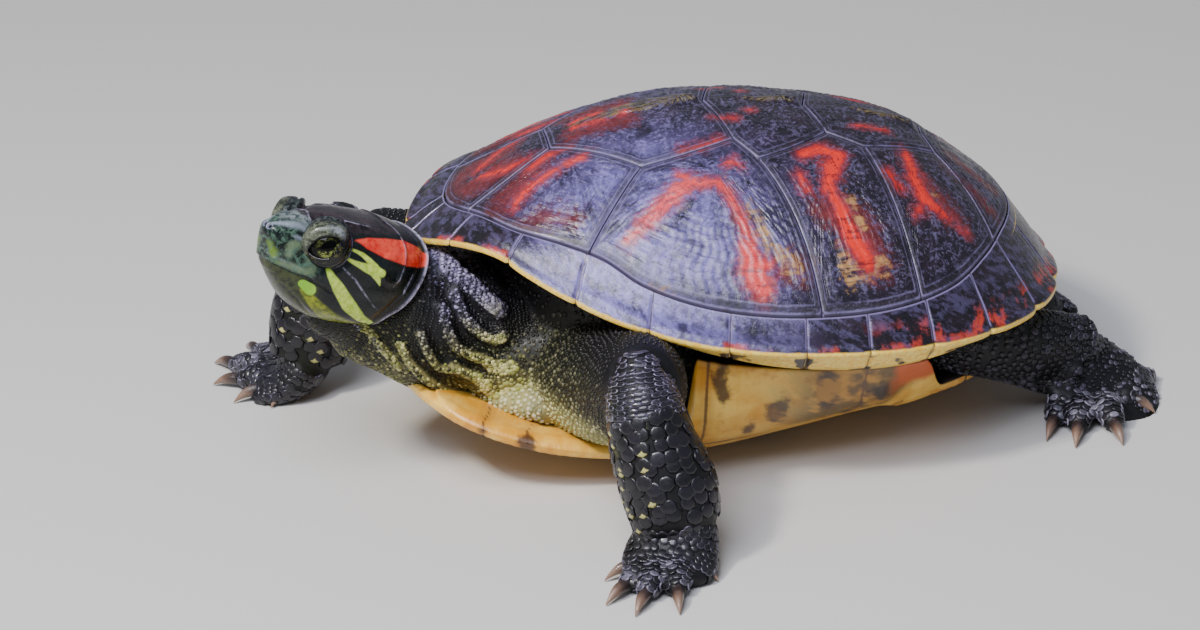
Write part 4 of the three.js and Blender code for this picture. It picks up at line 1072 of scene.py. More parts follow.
over_belly = 4.3
ground = lambda x, y: low_height(x) + over_belly
trunk = np.stack([
    trunk_ring(0.35, ground), trunk_ring(0.66, lambda x, y: ground(x, y) + 0.4),
    trunk_ring(0.86, lambda x, y: flank_height(q) - 2.6),
    trunk_ring(1, lambda x, y: flank_height(q) + 2.4),
    trunk_ring(1, lambda x, y: np.minimum(dome(x, y) - 5.0, rim_height(x) + 4) - 1),
    trunk_ring(0.86, lambda x, y: dome(x, y) - 5.8), trunk_ring(0.62, lambda x, y: dome(x, y) - 5.6),
    trunk_ring(0.32, lambda x, y: dome(x, y) - 5.2)
])
trunk = stand(trunk) - middle

tail = tube(tail_line, 40, 50, (0, 0, 1))
pocket_tubes = [tube(line, 70, 40, (0, 0, 1)) for line in pockets]
skirt_tubes = [tube(line, 70, 40, (0, 0, 1)) for line in skirts]
arm_tubes = {
    side: (tube(upper, 90, 50, (0, 0, 1)), tube(fore, 90, 60, (0, 1, 0)), tube(pad, 60, 24, pad_up, 0.95))
    for side, (upper, fore, pad, pad_up) in arms.items()
}
leg_tubes = {
    side: (tube(leg, 90, 60, (0, 1, 0)), tube(pad, 80, 30, (0.4, 0, 1), 0.95))
    for side, (leg, pad) in legs.items()
}
digit_tubes = [tube(toe(*digit), 28, 26, (0, 0, 1)) for digits in toes.values() for digit in digits]
flesh = [neck, trunk, rounded(tail)] + [rounded(rings, (0.1, 0.1)) for rings in pocket_tubes + skirt_tubes]
for arm, shin, palm in arm_tubes.values():
    flesh += [rounded(arm), rounded(shin, (0.9, 0.3)), rounded(palm, (0.2, 0.4))]
for thigh, sole in leg_tubes.values():
    flesh += [rounded(thigh), rounded(sole, (0.2, 0.4))]
flesh += [rounded(digit, (0.2, 0.7)) for digit in digit_tubes]
parts, faces, start = [], [], 0
for rings in flesh:
    V, quads, fans = closed(rings)
    parts.append(V)
    faces += [quads + start, fans + start]
    start += len(V)
rough_flesh = shape("rough_flesh", np.vstack(parts) + middle, faces)
grow = rough_flesh.modifiers.new("grow together", "REMESH")
grow.mode, grow.voxel_size = "VOXEL", 0.85 * mm
relax = rough_flesh.modifiers.new("relax", "SMOOTH")
relax.factor, relax.iterations = 0.5, 5
grown = bpy.data.meshes.new_from_object(rough_flesh.evaluated_get(bpy.context.evaluated_depsgraph_get()))
body = np.empty(len(grown.vertices) * 3, np.float32)
grown.vertices.foreach_get("co", body)
body = body.reshape(-1, 3).astype(float) * 1000
body_faces = np.empty(len(grown.loops), np.int32)
grown.loops.foreach_get("vertex_index", body_faces)
body_faces = body_faces.reshape(-1, 4)
bpy.data.objects.remove(rough_flesh)
body[:, 2] = np.maximum(body[:, 2], 0.0)


def paint(P):
    """How pale (0 to 1) and how warm (0 violet, 1 yellow-green) the skin and its scales are at points of
    the body.  The pale violet over the top of the neck is a painted highlight."""
    x, y, z = (P - middle).T
    tone, warm = np.full(len(P), 0.1), np.full(len(P), 0.25)
    on = smooth(x, -44, -50) * smooth(y, -32, -27) * smooth(y, 14, 6)
    beside, near_folds = np.full(len(P), 9.0), np.nonzero(on > 0)[0]
    for line, out, breadth in fold_tracks:
        gap = (P[near_folds] - middle)[:, None] - line[::2]
        along_out = np.einsum("ijk,jk->ij", gap, out[::2])
        gap = (
            np.linalg.norm(gap - out[::2] * along_out[..., None], axis=2)
            + 9 * (np.abs(along_out - 1) > 5)
        )
        beside[near_folds] = np.minimum(beside[near_folds], gap.min(1) / breadth)
    # Paler on top of the neck, a painted highlight; paler low down and on the fold crests.
    neck_tone = 0.08 + 0.4 * smooth(z, 42, 50) + 0.24 * smooth(z, 36, 26) + 0.5 * smooth(beside, 1.15, 0.6)
    neck_tone += 0.2 * smooth(z, 27, 21) * smooth(x, -75, -62)
    neck_tone += 0.2 * smooth(x, -68, -78) * smooth(z, 44, 34)
    tone = tone + (neck_tone - tone) * on
    warm = warm + (np.maximum(smooth(z, 42, 28), smooth(x, -66, -76) * smooth(z, 52, 44)) - warm) * on
    bands = np.minimum(
        figure(
            P - middle,
            [
                [[-35.5, -68, 35, 1.4], [-36.0, -72, 27, 1.6], [-34.8, -76, 17, 1.5], [-33, -80, 9, 1.2]],
                [[-29, -75, 34, 0.5], [-30.5, -78.5, 25, 0.7], [-30, -81.5, 15, 0.6]],
                [[-90.0, 27.0, 36, 1.0], [-93.0, 25.4, 27, 1.2], [-96.0, 24.0, 17, 1.0]],
                [[-86, 27.5, 34, 0.6], [-88, 25.0, 26, 0.7], [-90, 23.4, 16, 0.6]]
            ]
        ),
        9
    )
    streak = smooth(bands, 1.2, -0.6) * smooth(z, 11, 17)
    inner_arm = figure(
        P - middle,
        [
            [[-36, -66, 36, 4], [-37, -74, 24, 4], [-35, -80, 10, 4]],
            [[-92, 26, 36, 4], [-96, 24, 22, 4], [-98, 24, 10, 4]]
        ]
    )
    tone = np.maximum(tone, streak * 0.42)
    warm = np.maximum(warm, np.maximum(streak, smooth(inner_arm, 3, -1)))
    hind = smooth(x, 40, 52) * smooth(np.abs(y), 6, 12)
    tone += 0.1 * hind * smooth(z, 14, 4) - 0.04 * hind
    warm += 0.1 * hind * smooth(z, 14, 4)
    upper_arm = (
        smooth(x, -50, -44) * smooth(x, -8, -16) * smooth(y, -62, -54) * smooth(-y, 12, 18)
        * smooth(z, 44, 32)
    )
    tone += 0.14 * upper_arm + 0.2 * upper_arm * smooth(z, 27, 19)
    warm = np.maximum(warm, upper_arm * 0.85)
    pocket = (
        smooth(x, -60, -54) * smooth(x, -24, -32) * smooth(y, -9, -15) * smooth(y, -54, -46)
        * smooth(z, 37, 27)
    )
    tone += 0.1 * pocket + 0.4 * pocket * smooth(z, 25, 16)
    warm = np.maximum(warm, pocket * 0.9)
    return np.clip(tone, 0, 1), np.clip(warm, 0, 1)


# ---------------------------------------------------------------- head
# A blunt head on a finer grid than the limbs: a ring of loose skin behind, a low disc over the
# ear, the brow and snout, a closed beak whose upper edge overhangs the lower, and two nostrils.
yaw, nose_up, head_roll, head_scale = math.radians(31), math.radians(21), math.radians(-4), 1.07
nose_way = np.array([
    -math.cos(yaw) * math.cos(nose_up), -math.sin(yaw) * math.cos(nose_up), math.sin(nose_up)
])
cheek_way = np.array([math.sin(yaw), -math.cos(yaw), 0.0])
crown_way = np.cross(nose_way, cheek_way)
head_axes = np.array([
    nose_way, cheek_way * math.cos(head_roll) + crown_way * math.sin(head_roll),
    crown_way * math.cos(head_roll) - cheek_way * math.sin(head_roll)
])
head_place = np.array([-90.4, -19.4, 56]) + middle


def on_neck(P):
    """Head units (forwards, left, up) to the model's millimetres."""
    return P @ head_axes * head_scale + head_place


head_stations = [-20.2, -17.5, -14, -10, -5, 0, 4, 7.5, 10.5, 13, 15, 16.2, 17.2, 17.8, 18.0]
head_width = knots(
    head_stations, [10.4, 11.2, 12.2, 12.6, 12.2, 11.2, 10.2, 9.0, 7.3, 5.6, 4.4, 3.6, 2.6, 1.3, 0.5]
)
head_crown = knots(
    head_stations, [6.9, 7.6, 8.8, 9.6, 10.1, 10.4, 10.3, 9.8, 9.1, 8.3, 7.8, 7.4, 6.9, 6.2, 5.6]
)
head_throat = knots(
    head_stations,
    [-9.8, -10.4, -11.2, -11.8, -12, -11.7, -10.9, -9.8, -8.2, -6.1, -3.9, -2.3, 2.0, 4.2, 4.8]
)
a = even_steps([-20.2, -15, 15.2, 18.0], [20, 112, 25])
t = 2 * np.pi * (np.arange(240) + 0.5) / 240
c, s = np.cos(t)[None], np.sin(t)[None]
wide, up, down = head_width(a)[:, None], head_crown(a)[:, None], head_throat(a)[:, None]
belt = (up + down) / 2 + 0.3
head = np.stack(
    [
        a[:, None] + 0 * c, wide * np.sign(c) * np.abs(c) ** 0.86,
        belt + np.where(s > 0, up - belt, belt - down) * np.sign(s) * np.abs(s) ** 0.86
    ],
    -1
)
mouth_line = knots(
    [-7, -3, 1, 5, 7.7, 9.9, 12.2, 13.8, 15.7, 18],
    [-6.6, -5.9, -5.1, -4.2, -3.3, -2.4, -2.2, -1.8, -1.4, -0.9]
)
H = head.reshape(-1, 3)
ray = unit_length(H - np.stack([a, 0 * a, belt[:, 0]], -1).repeat(len(t), 0))
fold_over = lambda P: np.abs(P) * [0, 1, 0] + P * [1, 0, 1]
near_side = fold_over(H)
unbent = near_side.copy()
bump = lambda strokes, width: bell(np.maximum(figure(near_side, strokes), 0), width)
ring_at = knots(
    [-12, -8.6, -7, -4.5, -0.9, 2.7, 5.3, 12], [-8.5, -10.4, -12.2, -13.8, -15.6, -17.2, -18.2, -18.4]
)
behind = H[:, 0] - ring_at(H[:, 2])
mouth_gap = H[:, 2] - mouth_line(H[:, 0])
on_mouth = smooth(H[:, 0], 2.5, 6)
push = (
    -0.5 * bell(mouth_gap, 0.28) * on_mouth
    - 0.45 * smooth(mouth_gap, 0.3, -0.3) * on_mouth * smooth(H[:, 0], 2, 9)
    + 0.15 * bell(mouth_gap - 0.6, 0.6) * on_mouth
)
push += (
    0.5 * bump([[[14.9, 1.0, 6.8, 0.1], [13.0, 2.6, 7.6, 0.2], [11, 4.1, 7.7, 0.3]]], 0.9)
    - 0.3 * bump([[[13.4, 4.6, 5.0, 0.4], [12, 6, 2.4, 0.8]]], 1.6)
)
push += 0.35 * bump([[[2.3, 5.2, 9.5, 0.3], [0, 5.9, 9.3, 0.3], [-2.5, 6.5, 9.0, 0.2]]], 0.9)
push += (
    0.3 * bump([[[-7.6, 12.2, 2.2, 2.6]]], 0.9)
    + 0.28
    * bump(
        [[
            [-9.2, -0.9, 9.7, 0.1], [-9.3, 3.8, 9.4, 0.1], [-10.6, 6.8, 8.4, 0.1], [-10.9, 9.6, 6.6, 0.1],
            [-10.6, 11.3, 4.6, 0.1], [-10, 12.3, 3.1, 0.1], [-9.2, 12.6, 0.1, 0.1]
        ]],
        0.35
    )
)
push += (
    0.6 * bell(behind, 0.6) - 2.6 * smooth(behind, -0.6, -3.0)
    - 0.4 * bell(behind - 1.6, 0.6) * smooth(H[:, 2], 7, 3)
    + 0.2 * bell(behind - 2.6, 0.4) * smooth(H[:, 2], 4, 1)
    - 0.2 * bell(behind - 3.5, 0.35) * smooth(H[:, 2], 4, 1)
)
push += (
    0.5 * bump([[[5, 8.6, -6.6, 0.5], [-2, 8.4, -8.9, 0.6], [-8, 8.6, -9.4, 0.4]]], 1.4)
    - 0.25
    * bump(
        [[[15.1, 2.3, -4.6, 0.1], [11.9, 4.1, -6.7, 0.1], [8.8, 5.1, -8.3, 0.1], [2.9, 4, -10.9, 0.1]]],
        0.4
    )
)
push += 0.16 * bump([[[8.6, 0.3, 9.6, 0.1], [9.6, 2.6, 8.9, 0.1], [10.7, 4.5, 7.5, 0.1]]], 0.3)
push += 1.1 * smooth(H[:, 2], -4.5, -9) * smooth(H[:, 0], 14, 5) * smooth(H[:, 0], -13, -6)
eye_place, ball = np.array([6.5, 6.35, 4.95]), 4.3
look = unit_length(np.array([0.661, 0.710, 0.243]))
eye_up = unit_length([0, 0, 1] - look * look[2])
eye_back = np.cross(eye_up, look)
H = H + ray * push[:, None]
H = H - bell(np.linalg.norm(near_side - [17.6, 0.8, 6.3], axis=1), 0.4)[:, None] * [0.8, 0, 0.6]
side_sign = np.sign(H[:, 1] + 1e-9)
near_side = fold_over(H)
from_eye = near_side - eye_place
r = np.linalg.norm(from_eye, axis=1)
angle = np.degrees(np.arccos(np.clip(from_eye @ look / r, -1, 1)))
in_orbit = smooth(r * np.sin(np.radians(angle)), 6.7, 5.5)
r_new = r + (np.minimum(r, 4.95) - r) * smooth(angle, 112, 92) * in_orbit
r_new = r_new + (np.minimum(r_new, ball - 0.5) - r_new) * smooth(angle, 84, 68) * in_orbit
near_side = eye_place + from_eye * (r_new / r)[:, None]
H = np.stack([near_side[:, 0], near_side[:, 1] * side_sign, near_side[:, 2]], -1)
head_V, head_quads, head_fans = closed(H.reshape(head.shape))

# Lids: a folded sheet round each eye.  Its inner edge is the slanted opening, low in front and
# high behind; the upper lid bulges and the lower is a thick dark roll inside a raised ring.
phi = circle(180)
slant = math.radians(36)
c, s = np.cos(phi), np.sin(phi)
half_gap = np.where(s > 0, 1.65, 2.75) / head_scale
opening = (np.abs(c / (3.45 / head_scale)) ** 1.6 + np.abs(s / half_gap) ** 1.6) ** (-1 / 1.6)
turned = np.stack(
    [c * math.cos(slant) - s * math.sin(slant), c * math.sin(slant) + s * math.cos(slant)], -1
)
inner_edge = turned * opening[:, None] + [-0.14, -0.54]
from_look = np.linalg.norm(inner_edge, axis=1, keepdims=True)
inner_edge *= np.arcsin(np.minimum(from_look / ball, 0.95)) / from_look
outer_edge = turned * math.radians(98)
v = even_steps([0, 0.12, 1], [8, 33])
upper = smooth(s, -0.25, 0.35)[None]
rise_up = 0.5 + 0.75 * smooth(v, 0.0, 0.32) - 0.12 * smooth(v, 0.45, 0.7) - 0.05 * bell(v - 0.5, 0.05)
rise_low = 0.34 + 0.42 * smooth(v, 0.02, 0.25) - 0.28 * bell(v - 0.34, 0.05) + 0.1 * smooth(v, 0.4, 0.55)
ring_fold = -0.42 * bell(v - 0.73, 0.035) + 0.22 * bell(v - 0.84, 0.06) - 0.9 * smooth(v, 0.9, 1.0)
outer_face = rise_up[:, None] * upper + rise_low[:, None] * (1 - upper) + ring_fold[:, None]
outer_face = outer_face * smooth(v, -0.02, 0.03)[:, None] + 0.02
back = np.linspace(1, 0, 12)
inner_face = 0.01 - 0.25 * smooth(back, 0, 0.3)
v_all = np.concatenate([v, back])
heights = np.concatenate([outer_face, np.repeat(inner_face[:, None], 180, 1)])
plane = inner_edge[None] + (outer_edge - inner_edge)[None] * v_all[:, None, None]
th = np.linalg.norm(plane, axis=2, keepdims=True)
unit = look * np.cos(th) + (eye_back * plane[..., :1] + eye_up * plane[..., 1:]) / th * np.sin(th)
lid = eye_place + unit * (ball + heights)[..., None]
n, m = lid.shape[:2]
i, j = np.meshgrid(np.arange(n), np.arange(m), indexing="ij")
lid_quads = np.stack(
    [i * m + j, i * m + (j + 1) % m, (i + 1) % n * m + (j + 1) % m, (i + 1) % n * m + j], -1
).reshape(-1, 4)
lid_V = lid.reshape(-1, 3)
lid_quads = facing_out(lid_V, lid_quads)[0]
lid_v = np.repeat(np.where(np.arange(n) < len(v), v_all, 0)[:, None], m, 1).ravel()
lid_up = np.repeat(upper, n, 0).ravel()


# ---------------------------------------------------------------- skin
# One skin over limbs, neck, head and lids, near black with green and violet in it.  The head is
# striped with lime and yellow, with the red patch behind each eye.
red_patch = [[
    [0.9, 8.9, 6.9, 0.25], [-1.7, 9.5, 6.6, 1.25], [-6.2, 10.2, 5.9, 2.3], [-11.1, 10.5, 5.3, 2.8],
    [-15.0, 10.1, 4.5, 2.3], [-16.8, 9.8, 3.9, 1.6]
]]
lime_marks = [
    [
        [2.9, 10.2, 3.0, 0.3], [1.0, 10.7, 2.5, 0.55], [-1.2, 11.3, 1.9, 0.85], [-3.2, 11.7, 1.5, 1.2],
        [-4.9, 12.1, 1.2, 0.75]
    ],
    [[1.6, 9.9, 5.0, 0.3], [-0.1, 10.6, 4.4, 0.45], [-1.9, 11.2, 3.3, 0.6], [-3.2, 11.6, 2.2, 0.8]],
    [[-3.5, 11.8, 0.7, 0.8], [-4.5, 12.0, -0.4, 0.5], [-5.2, 12.2, -1.5, 0.12]],
    [
        [7.1, 9.1, 0.1, 0.25], [5.7, 9.6, -1.0, 0.75], [3.5, 10.0, -3.2, 1.25], [0.6, 10.0, -5.9, 1.4],
        [-3.8, 9.5, -8.4, 0.85], [-7.6, 8.9, -9.5, 0.45]
    ],
    [[9.9, 6.9, -4.2, 1.05], [8.5, 7.5, -4.9, 1.4]]
]
olive_band = [[
    [9.6, 6.4, -5.6, 0.4], [8.4, 6.9, -6.4, 1.0], [4.7, 7.2, -8.2, 1.6], [2.5, 6.9, -9.4, 2.1],
    [-1.0, 6.5, -10.6, 2.5], [-4.2, 6.6, -10.9, 2.0], [-7.2, 7.4, -10.4, 1.0]
]]
glare = [
    [[17.0, 1.0, 7.0, 0.15], [15.4, 2.1, 7.3, 0.35], [13.0, 3.7, 7.7, 0.45], [11.0, 4.8, 7.6, 0.25]],
    [[13.4, 4.5, 5.7, 0.0], [12.7, 5.4, 4.4, 0.05], [11.9, 6.3, 2.8, 0.0]],
    [[17.1, 0.8, 0.9, -0.25], [16.1, 3.4, 0.4, -0.2], [13.5, 5.4, -0.1, -0.2], [10.9, 7.2, -0.9, -0.3]]
]
# Thin pale lines over ridges of the head: painted sheen, painted highlights along the ridges.
sheen_lines = [
    [
        [-9.2, -0.9, 9.7, 0.05], [-9.3, 3.8, 9.4, 0.1], [-10.6, 6.8, 8.4, 0.15], [-10.9, 9.6, 6.6, 0.15],
        [-10.6, 11.3, 4.6, 0.15], [-10, 12.3, 3.1, 0.12], [-9.2, 12.6, 0.1, 0.12],
        [-8.4, 12.5, -1.6, 0.05]
    ],
    [[-13.1, 12.2, 1.2, 0.1], [-11.8, 12.5, -2, 0.15], [-11.7, 12, -4.6, 0.05]],
    [[-14.6, 11.8, 0.6, 0.05], [-13.6, 11.8, -3.4, 0.15], [-12.6, 10.8, -6.6, 0.05]],
    [
        [3.5, 10.4, 1.0, 0.1], [0.6, 11.1, -0.9, 0.15], [-2.2, 11.5, -3.5, 0.12],
        [-5.7, 11.2, -6.2, 0.05], [-10, 10.4, -7.8, 0.05]
    ],
    [[2.3, 5.2, 9.5, 0.1], [0, 5.9, 9.3, 0.12], [-4, 6.6, 8.9, 0.05]],
    [[8.6, 0.3, 9.6, 0.15], [9.6, 2.6, 8.9, 0.15], [10.7, 4.5, 7.5, 0.1]],
    [[2.0, 0.0, 10.3, 0.05], [2.4, 3.4, 9.9, 0.1], [2.6, 5.4, 9.3, 0.05]]
]
snout_marks = [
    [[16.8, 1.8, 2.9, 0.5], [16.2, 2.9, 0.9, 0.8]], [[13.8, 4.9, 4.0, 0.4], [14.0, 4.9, 1.6, 0.5]],
    [[12.0, 6.4, 3.4, 0.35], [11.2, 7.4, 0.6, 0.5]], [[12.8, 5.8, -3.6, 0.5], [11.4, 6.2, -4.2, 0.3]],
    [[15.6, 3.5, -0.4, 0.4], [12.0, 6.7, -0.9, 0.7], [9.6, 8.2, -1.2, 0.4]]
]

head_points = np.vstack([head_V, lid_V, lid_V * [1, -1, 1]])
n_head, n_lid = len(head_V), len(lid_V)
near_side = fold_over(head_points)
near_side[: len(unbent)] = unbent
# The ring of skin behind the head: a painted highlight along its fold.
ring_highlight = bell(near_side[:, 0] - ring_at(near_side[:, 2]), 0.4)
fields = {
    "head": np.ones(len(head_points)), "forward": near_side[:, 0], "aside": near_side[:, 1],
    "upward": near_side[:, 2], "ring": ring_highlight
}
for key, strokes in (
    ("red", red_patch), ("lime", lime_marks), ("olive", olive_band), ("line", sheen_lines),
    ("snout", snout_marks), ("glare", glare)
):
    fields[key] = figure(near_side, strokes)
over_mouth = near_side[:, 2] - mouth_line(near_side[:, 0])
fields["mouth"], fields["jaw"] = np.where(near_side[:, 0] > 4.5, np.abs(over_mouth), 9.0), over_mouth
fields["lid"] = np.concatenate([np.zeros(n_head), lid_v, lid_v])
fields["on_lid"] = np.concatenate([np.zeros(n_head), np.ones(2 * n_lid)])
fields["lid_up"] = np.concatenate([np.zeros(n_head), lid_up, lid_up])
fields["nostril"] = figure(near_side, [[[17.6, 0.8, 6.3, 0.24]]])
h = (body - head_place) @ head_axes.T / head_scale
belt_at = (head_crown(h[:, 0]) + head_throat(h[:, 0])) / 2 + 0.3
half_height = np.where(h[:, 2] > belt_at, head_crown(h[:, 0]) - belt_at, belt_at - head_throat(h[:, 0]))
girth = np.hypot(h[:, 1] / head_width(h[:, 0]), (h[:, 2] - belt_at) / half_height)
limit = 0.9 + 0.07 * np.maximum(ring_at(h[:, 2]) - 0.9 - h[:, 0], 0) ** 1.3
tuck = (np.minimum(girth, limit) / girth - 1) * smooth(h[:, 2], -12, -9) * smooth(h[:, 0], -24, -21)
h[:, 1] += h[:, 1] * tuck
h[:, 2] += (h[:, 2] - belt_at) * tuck
body = on_neck(h)
tone, warm = paint(body)
on_head_only = ("head", "ring", "lid", "on_lid", "lid_up")
fields = {
    key: np.concatenate([np.full(len(body), 0.0 if key in on_head_only else 30.0), values])
    for key, values in fields.items()
}
for key, values in (("tone", tone), ("warm", warm)):
    fields[key] = np.concatenate([values, np.zeros(len(head_points))])
start = len(body) + n_head
skin = shape(
    "skin", np.vstack([body, on_neck(head_points)]),
    [
        body_faces, head_quads + len(body), head_fans + len(body), lid_quads + start,
        lid_quads[:, ::-1] + start + n_lid
    ],
    fields
)

f = Finish("turtle_skin")
fwd, side, high = f.field("forward"), f.field("aside"), f.field("upward")
cloud, fine, grain = f.noise(0.22, 4, 0.6), f.noise(0.9, 4, 0.6), f.noise(2.6, 3, 0.6)
wet = (fine - 0.5) * 0.5 + (cloud - 0.5) * 0.7
jaw = f.field("jaw")
head_base = f.mix(f.ease(cloud + fine * 0.3, 0.5, 0.8), (6, 9, 10), (17, 26, 26))
mottle = f.noise(0.6, 4, 0.62, 1.2)
snout_green = f.mix(f.ease(mottle * 0.8 + fine * 0.2, 0.44, 0.6), (8, 17, 17), (72, 98, 82))
head_base = f.mix(f.ease(fwd + wet * 2.0, 7.2, 11.0) * 0.95, head_base, snout_green)
head_base = f.mix(
    f.ease(f.field("snout") + wet * 2.0 + (mottle - 0.5) * 3.0, 0.7, -0.4) * 0.6, head_base,
    f.mix(f.ease(fwd, 14.8, 16.0), (118, 138, 104), (112, 144, 40))
)
crown = f.mix(f.ease(cloud * 0.6 + fine * 0.5, 0.42, 0.68), (15, 11, 15), (54, 42, 48))
# Forward of the eyes the top turns blue-grey: the snout's own colour, lightened by a painted highlight.
crown = f.mix(
    f.ease(fwd, 9.0, 11.0), crown,
    f.mix(f.ease(fine + grain * 0.3, 0.5, 0.8), (44, 56, 56), (126, 136, 138))
)
head_base = f.mix(f.ease(high + wet + (fwd + 4.0) * 0.02, 7.6, 8.9), head_base, crown)
low = f.mix(f.ease(fine * 0.7 + cloud * 0.4, 0.42, 0.7), (22, 26, 14), (104, 108, 46))
head_base = f.mix(f.ease(high, -8.6, -10.2) * 0.85, head_base, low)
head_base = f.mix(
    f.ease(jaw, -0.1, -0.6) * f.ease(fwd, 5.0, 9.0) * 0.9, head_base,
    f.mix(f.ease(fine + cloud * 0.4, 0.55, 0.8), (11, 17, 5), (54, 60, 16))
)
head_base = f.mix(
    f.ease(f.field("olive") + wet * 0.6, 0.35, -0.3), head_base,
    f.mix(f.ease(fine, 0.35, 0.7), (84, 94, 4), (138, 146, 20))
)
lime = f.mix(
    f.ease(fwd, 4.0, 9.5), f.mix(f.ease(fine, 0.3, 0.7), (164, 192, 54), (210, 230, 104)), (128, 184, 40)
)
head_base = f.mix(f.ease(f.field("lime") + wet * 0.45, 0.18, -0.18), head_base, lime)
red = f.mix(f.ease(fine * 0.6 + cloud * 0.5, 0.4, 0.7), (196, 36, 24), (228, 78, 58))
head_base = f.mix(f.ease(f.field("red") + wet * 0.4, 0.22, -0.25) * (1 - f.field("on_lid")), head_base, red)
# Painted sheen along the head's ridges.
head_base = f.mix(
    f.ease(f.field("line"), 0.16, 0.0) * f.ease(fine, 0.3, 0.6) * 0.5, head_base, (178, 172, 196)
)
# Pale lavender on the ring behind the head: a painted highlight.
head_base = f.mix(f.field("ring") * f.ease(fine + grain * 0.4, 0.4, 0.8), head_base, (206, 198, 226))
head_base = f.mix(f.ease(f.field("mouth"), 0.3, 0.12), head_base, (10, 12, 10))
# The nostril: a pale rim, and black painted in its opening as the shade inside.
head_base = f.mix(f.ease(f.field("nostril"), 0.75, 0.4) * 0.7, head_base, (122, 126, 146))
head_base = f.mix(f.ease(f.field("nostril"), 0.2, 0.05), head_base, (2, 2, 3))
head_base = f.mix(f.ease(f.field("glare") + wet * 0.9, 0.7, -0.3) * 0.5, head_base, (172, 182, 198))
v, on_lid, above = f.field("lid"), f.field("on_lid"), f.field("lid_up")
flecks = f.noise(1.1, 4, 0.6, 0.8)
upper_lid = f.mix(f.ease(flecks * 0.7 + cloud * 0.4, 0.42, 0.68), (30, 34, 26), (104, 110, 92))
shine = f.ease(abs(fwd - 6.3), 3.4, 0.8) * f.ease(v, 0.08, 0.2) * f.ease(v, 0.46, 0.28)
upper_lid = f.mix(shine * f.ease(flecks * 0.6 + grain * 0.4, 0.34, 0.6) * 0.8, upper_lid, (150, 156, 164))
upper_lid = f.mix(
    f.ease(v, 0.42, 0.62), upper_lid, f.mix(f.ease(flecks, 0.46, 0.64), (18, 21, 24), (62, 70, 70))
)
lower_lid = f.mix(f.ease(flecks, 0.5, 0.66) * f.ease(v, 0.3, 0.1) * 0.7, (6, 7, 9), (84, 82, 34))
lids = f.mix(above, lower_lid, upper_lid)
lids = f.mix(f.ease(v, 0.07, 0.025), lids, (5, 5, 5))
# A pale lavender ring round the lower lid: a painted highlight.
lids = f.mix(f.ease(v, 0.76, 0.84) * f.ease(fine, 0.3, 0.6) * (1 - above) * 0.7, lids, (146, 142, 178))
lids = f.mix(f.ease(v, 0.92, 0.98), lids, head_base)
head_base = f.mix(on_lid, head_base, lids)
tone_t, warm_t = f.field("tone"), f.field("warm")
body_base = f.mix(
    f.ease(tone_t + (fine - 0.5) * 0.7 + (grain - 0.5) * 0.4, 0.3, 1.0) * 0.75,
    f.mix(warm_t, (13, 11, 18), (17, 20, 11)), f.mix(warm_t, (112, 106, 138), (176, 168, 104))
)
base = f.mix(f.field("head"), body_base, head_base)
relief = fine * 0.4 + grain * 0.25 + f.noise(0.5, 2, at=f.vector(fwd * 0.3, side, high)) * 0.5
rough = f.ease(fine, 0.3, 0.7) * 0.2 + 0.42 + f.field("head") * -0.22 + on_lid * -0.04
skin.data.materials.append(f.done(
    base, rough, relief, 0.14, IOR=1.38, Coat_Weight=f.field("head") * 0.14 + 0.02, Coat_Roughness=0.1
))
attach(skin, "root")
flesh_nodes = (
    ["trunk", "neck", "head", "lower_jaw", "tail"]
    + [
        part + side
        for part in ("upper_arm_", "forearm_", "hand_", "hind_leg_", "foot_")
        for side in ("left", "right")
    ]
)
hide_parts(*flesh_nodes)


# ---------------------------------------------------------------- eyes
# Two round glass-clear eyes set in the orbits.  The pupil is crossed by a dark bar, and the iris
# is olive with gold flecks and a dark edge.
rows = np.linspace(2, 178, 90)
around = circle(120)
for name, side in (("eye_left", 1), ("eye_right", -1)):
    flip = np.array([1, side, 1])
    th, ph = np.radians(rows)[:, None, None], around[None, :, None]
    unit = look * np.cos(th) + (eye_back * np.cos(ph) + eye_up * np.sin(ph)) * np.sin(th)
    V, quads, fans = closed(
        (eye_place + unit * ball) * flip,
        ((eye_place + look * ball) * flip, (eye_place - look * ball) * flip)
    )
    local = (V * flip - eye_place) * head_scale
    px, py = local @ eye_back - 0.9, local @ eye_up + 0.4
    bar_x, bar_y = px * math.cos(slant) + py * math.sin(slant), py * math.cos(slant) - px * math.sin(slant)
    piece = shape(
        name + "_ball", on_neck(V), [quads, fans],
        {
            "pupil": np.hypot(bar_x / 1.5, bar_y) - 1.1,
            "bar": np.abs(bar_y - 0.15) + np.abs(bar_x) * 0.05, "high": bar_y, "iris": np.hypot(px, py)
        }
    )
    f = Finish(name + "_glass")
    iris, flecks = f.field("iris"), f.noise(1.5, 4, 0.7, 0.8)
    base = f.mix(f.ease(flecks, 0.42, 0.62), (24, 28, 10), (142, 152, 78))
    base = f.mix(f.ease(f.field("high") + (flecks - 0.5) * 0.6, -0.7, 0.0) * 0.85, base, (12, 13, 9))
    base = f.mix(f.ease(iris + (flecks - 0.5) * 1.2, 2.5, 3.2), base, (10, 10, 9))
    base = f.mix(f.ease(f.field("bar") + (flecks - 0.5) * 0.5, 0.65, 0.35) * 0.9, base, (5, 5, 5))
    base = f.mix(f.ease(f.field("pupil"), 0.12, -0.04), base, (3, 3, 3))
    piece.data.materials.append(f.done(
        base, 0.08, IOR=1.36, Specular_IOR_Level=0.16, Coat_Weight=0.1, Coat_Roughness=0.02
    ))
    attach(piece, "root")
    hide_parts(name)


# ---------------------------------------------------------------- scales
# Small closed domes of horn set on the skin: fine grains and beads on the neck and its folds,
# broad plates on the forearms and narrow ones over the digits.
tree = BVHTree.FromPolygons(body.tolist(), body_faces.tolist())
rng = np.random.default_rng(7)


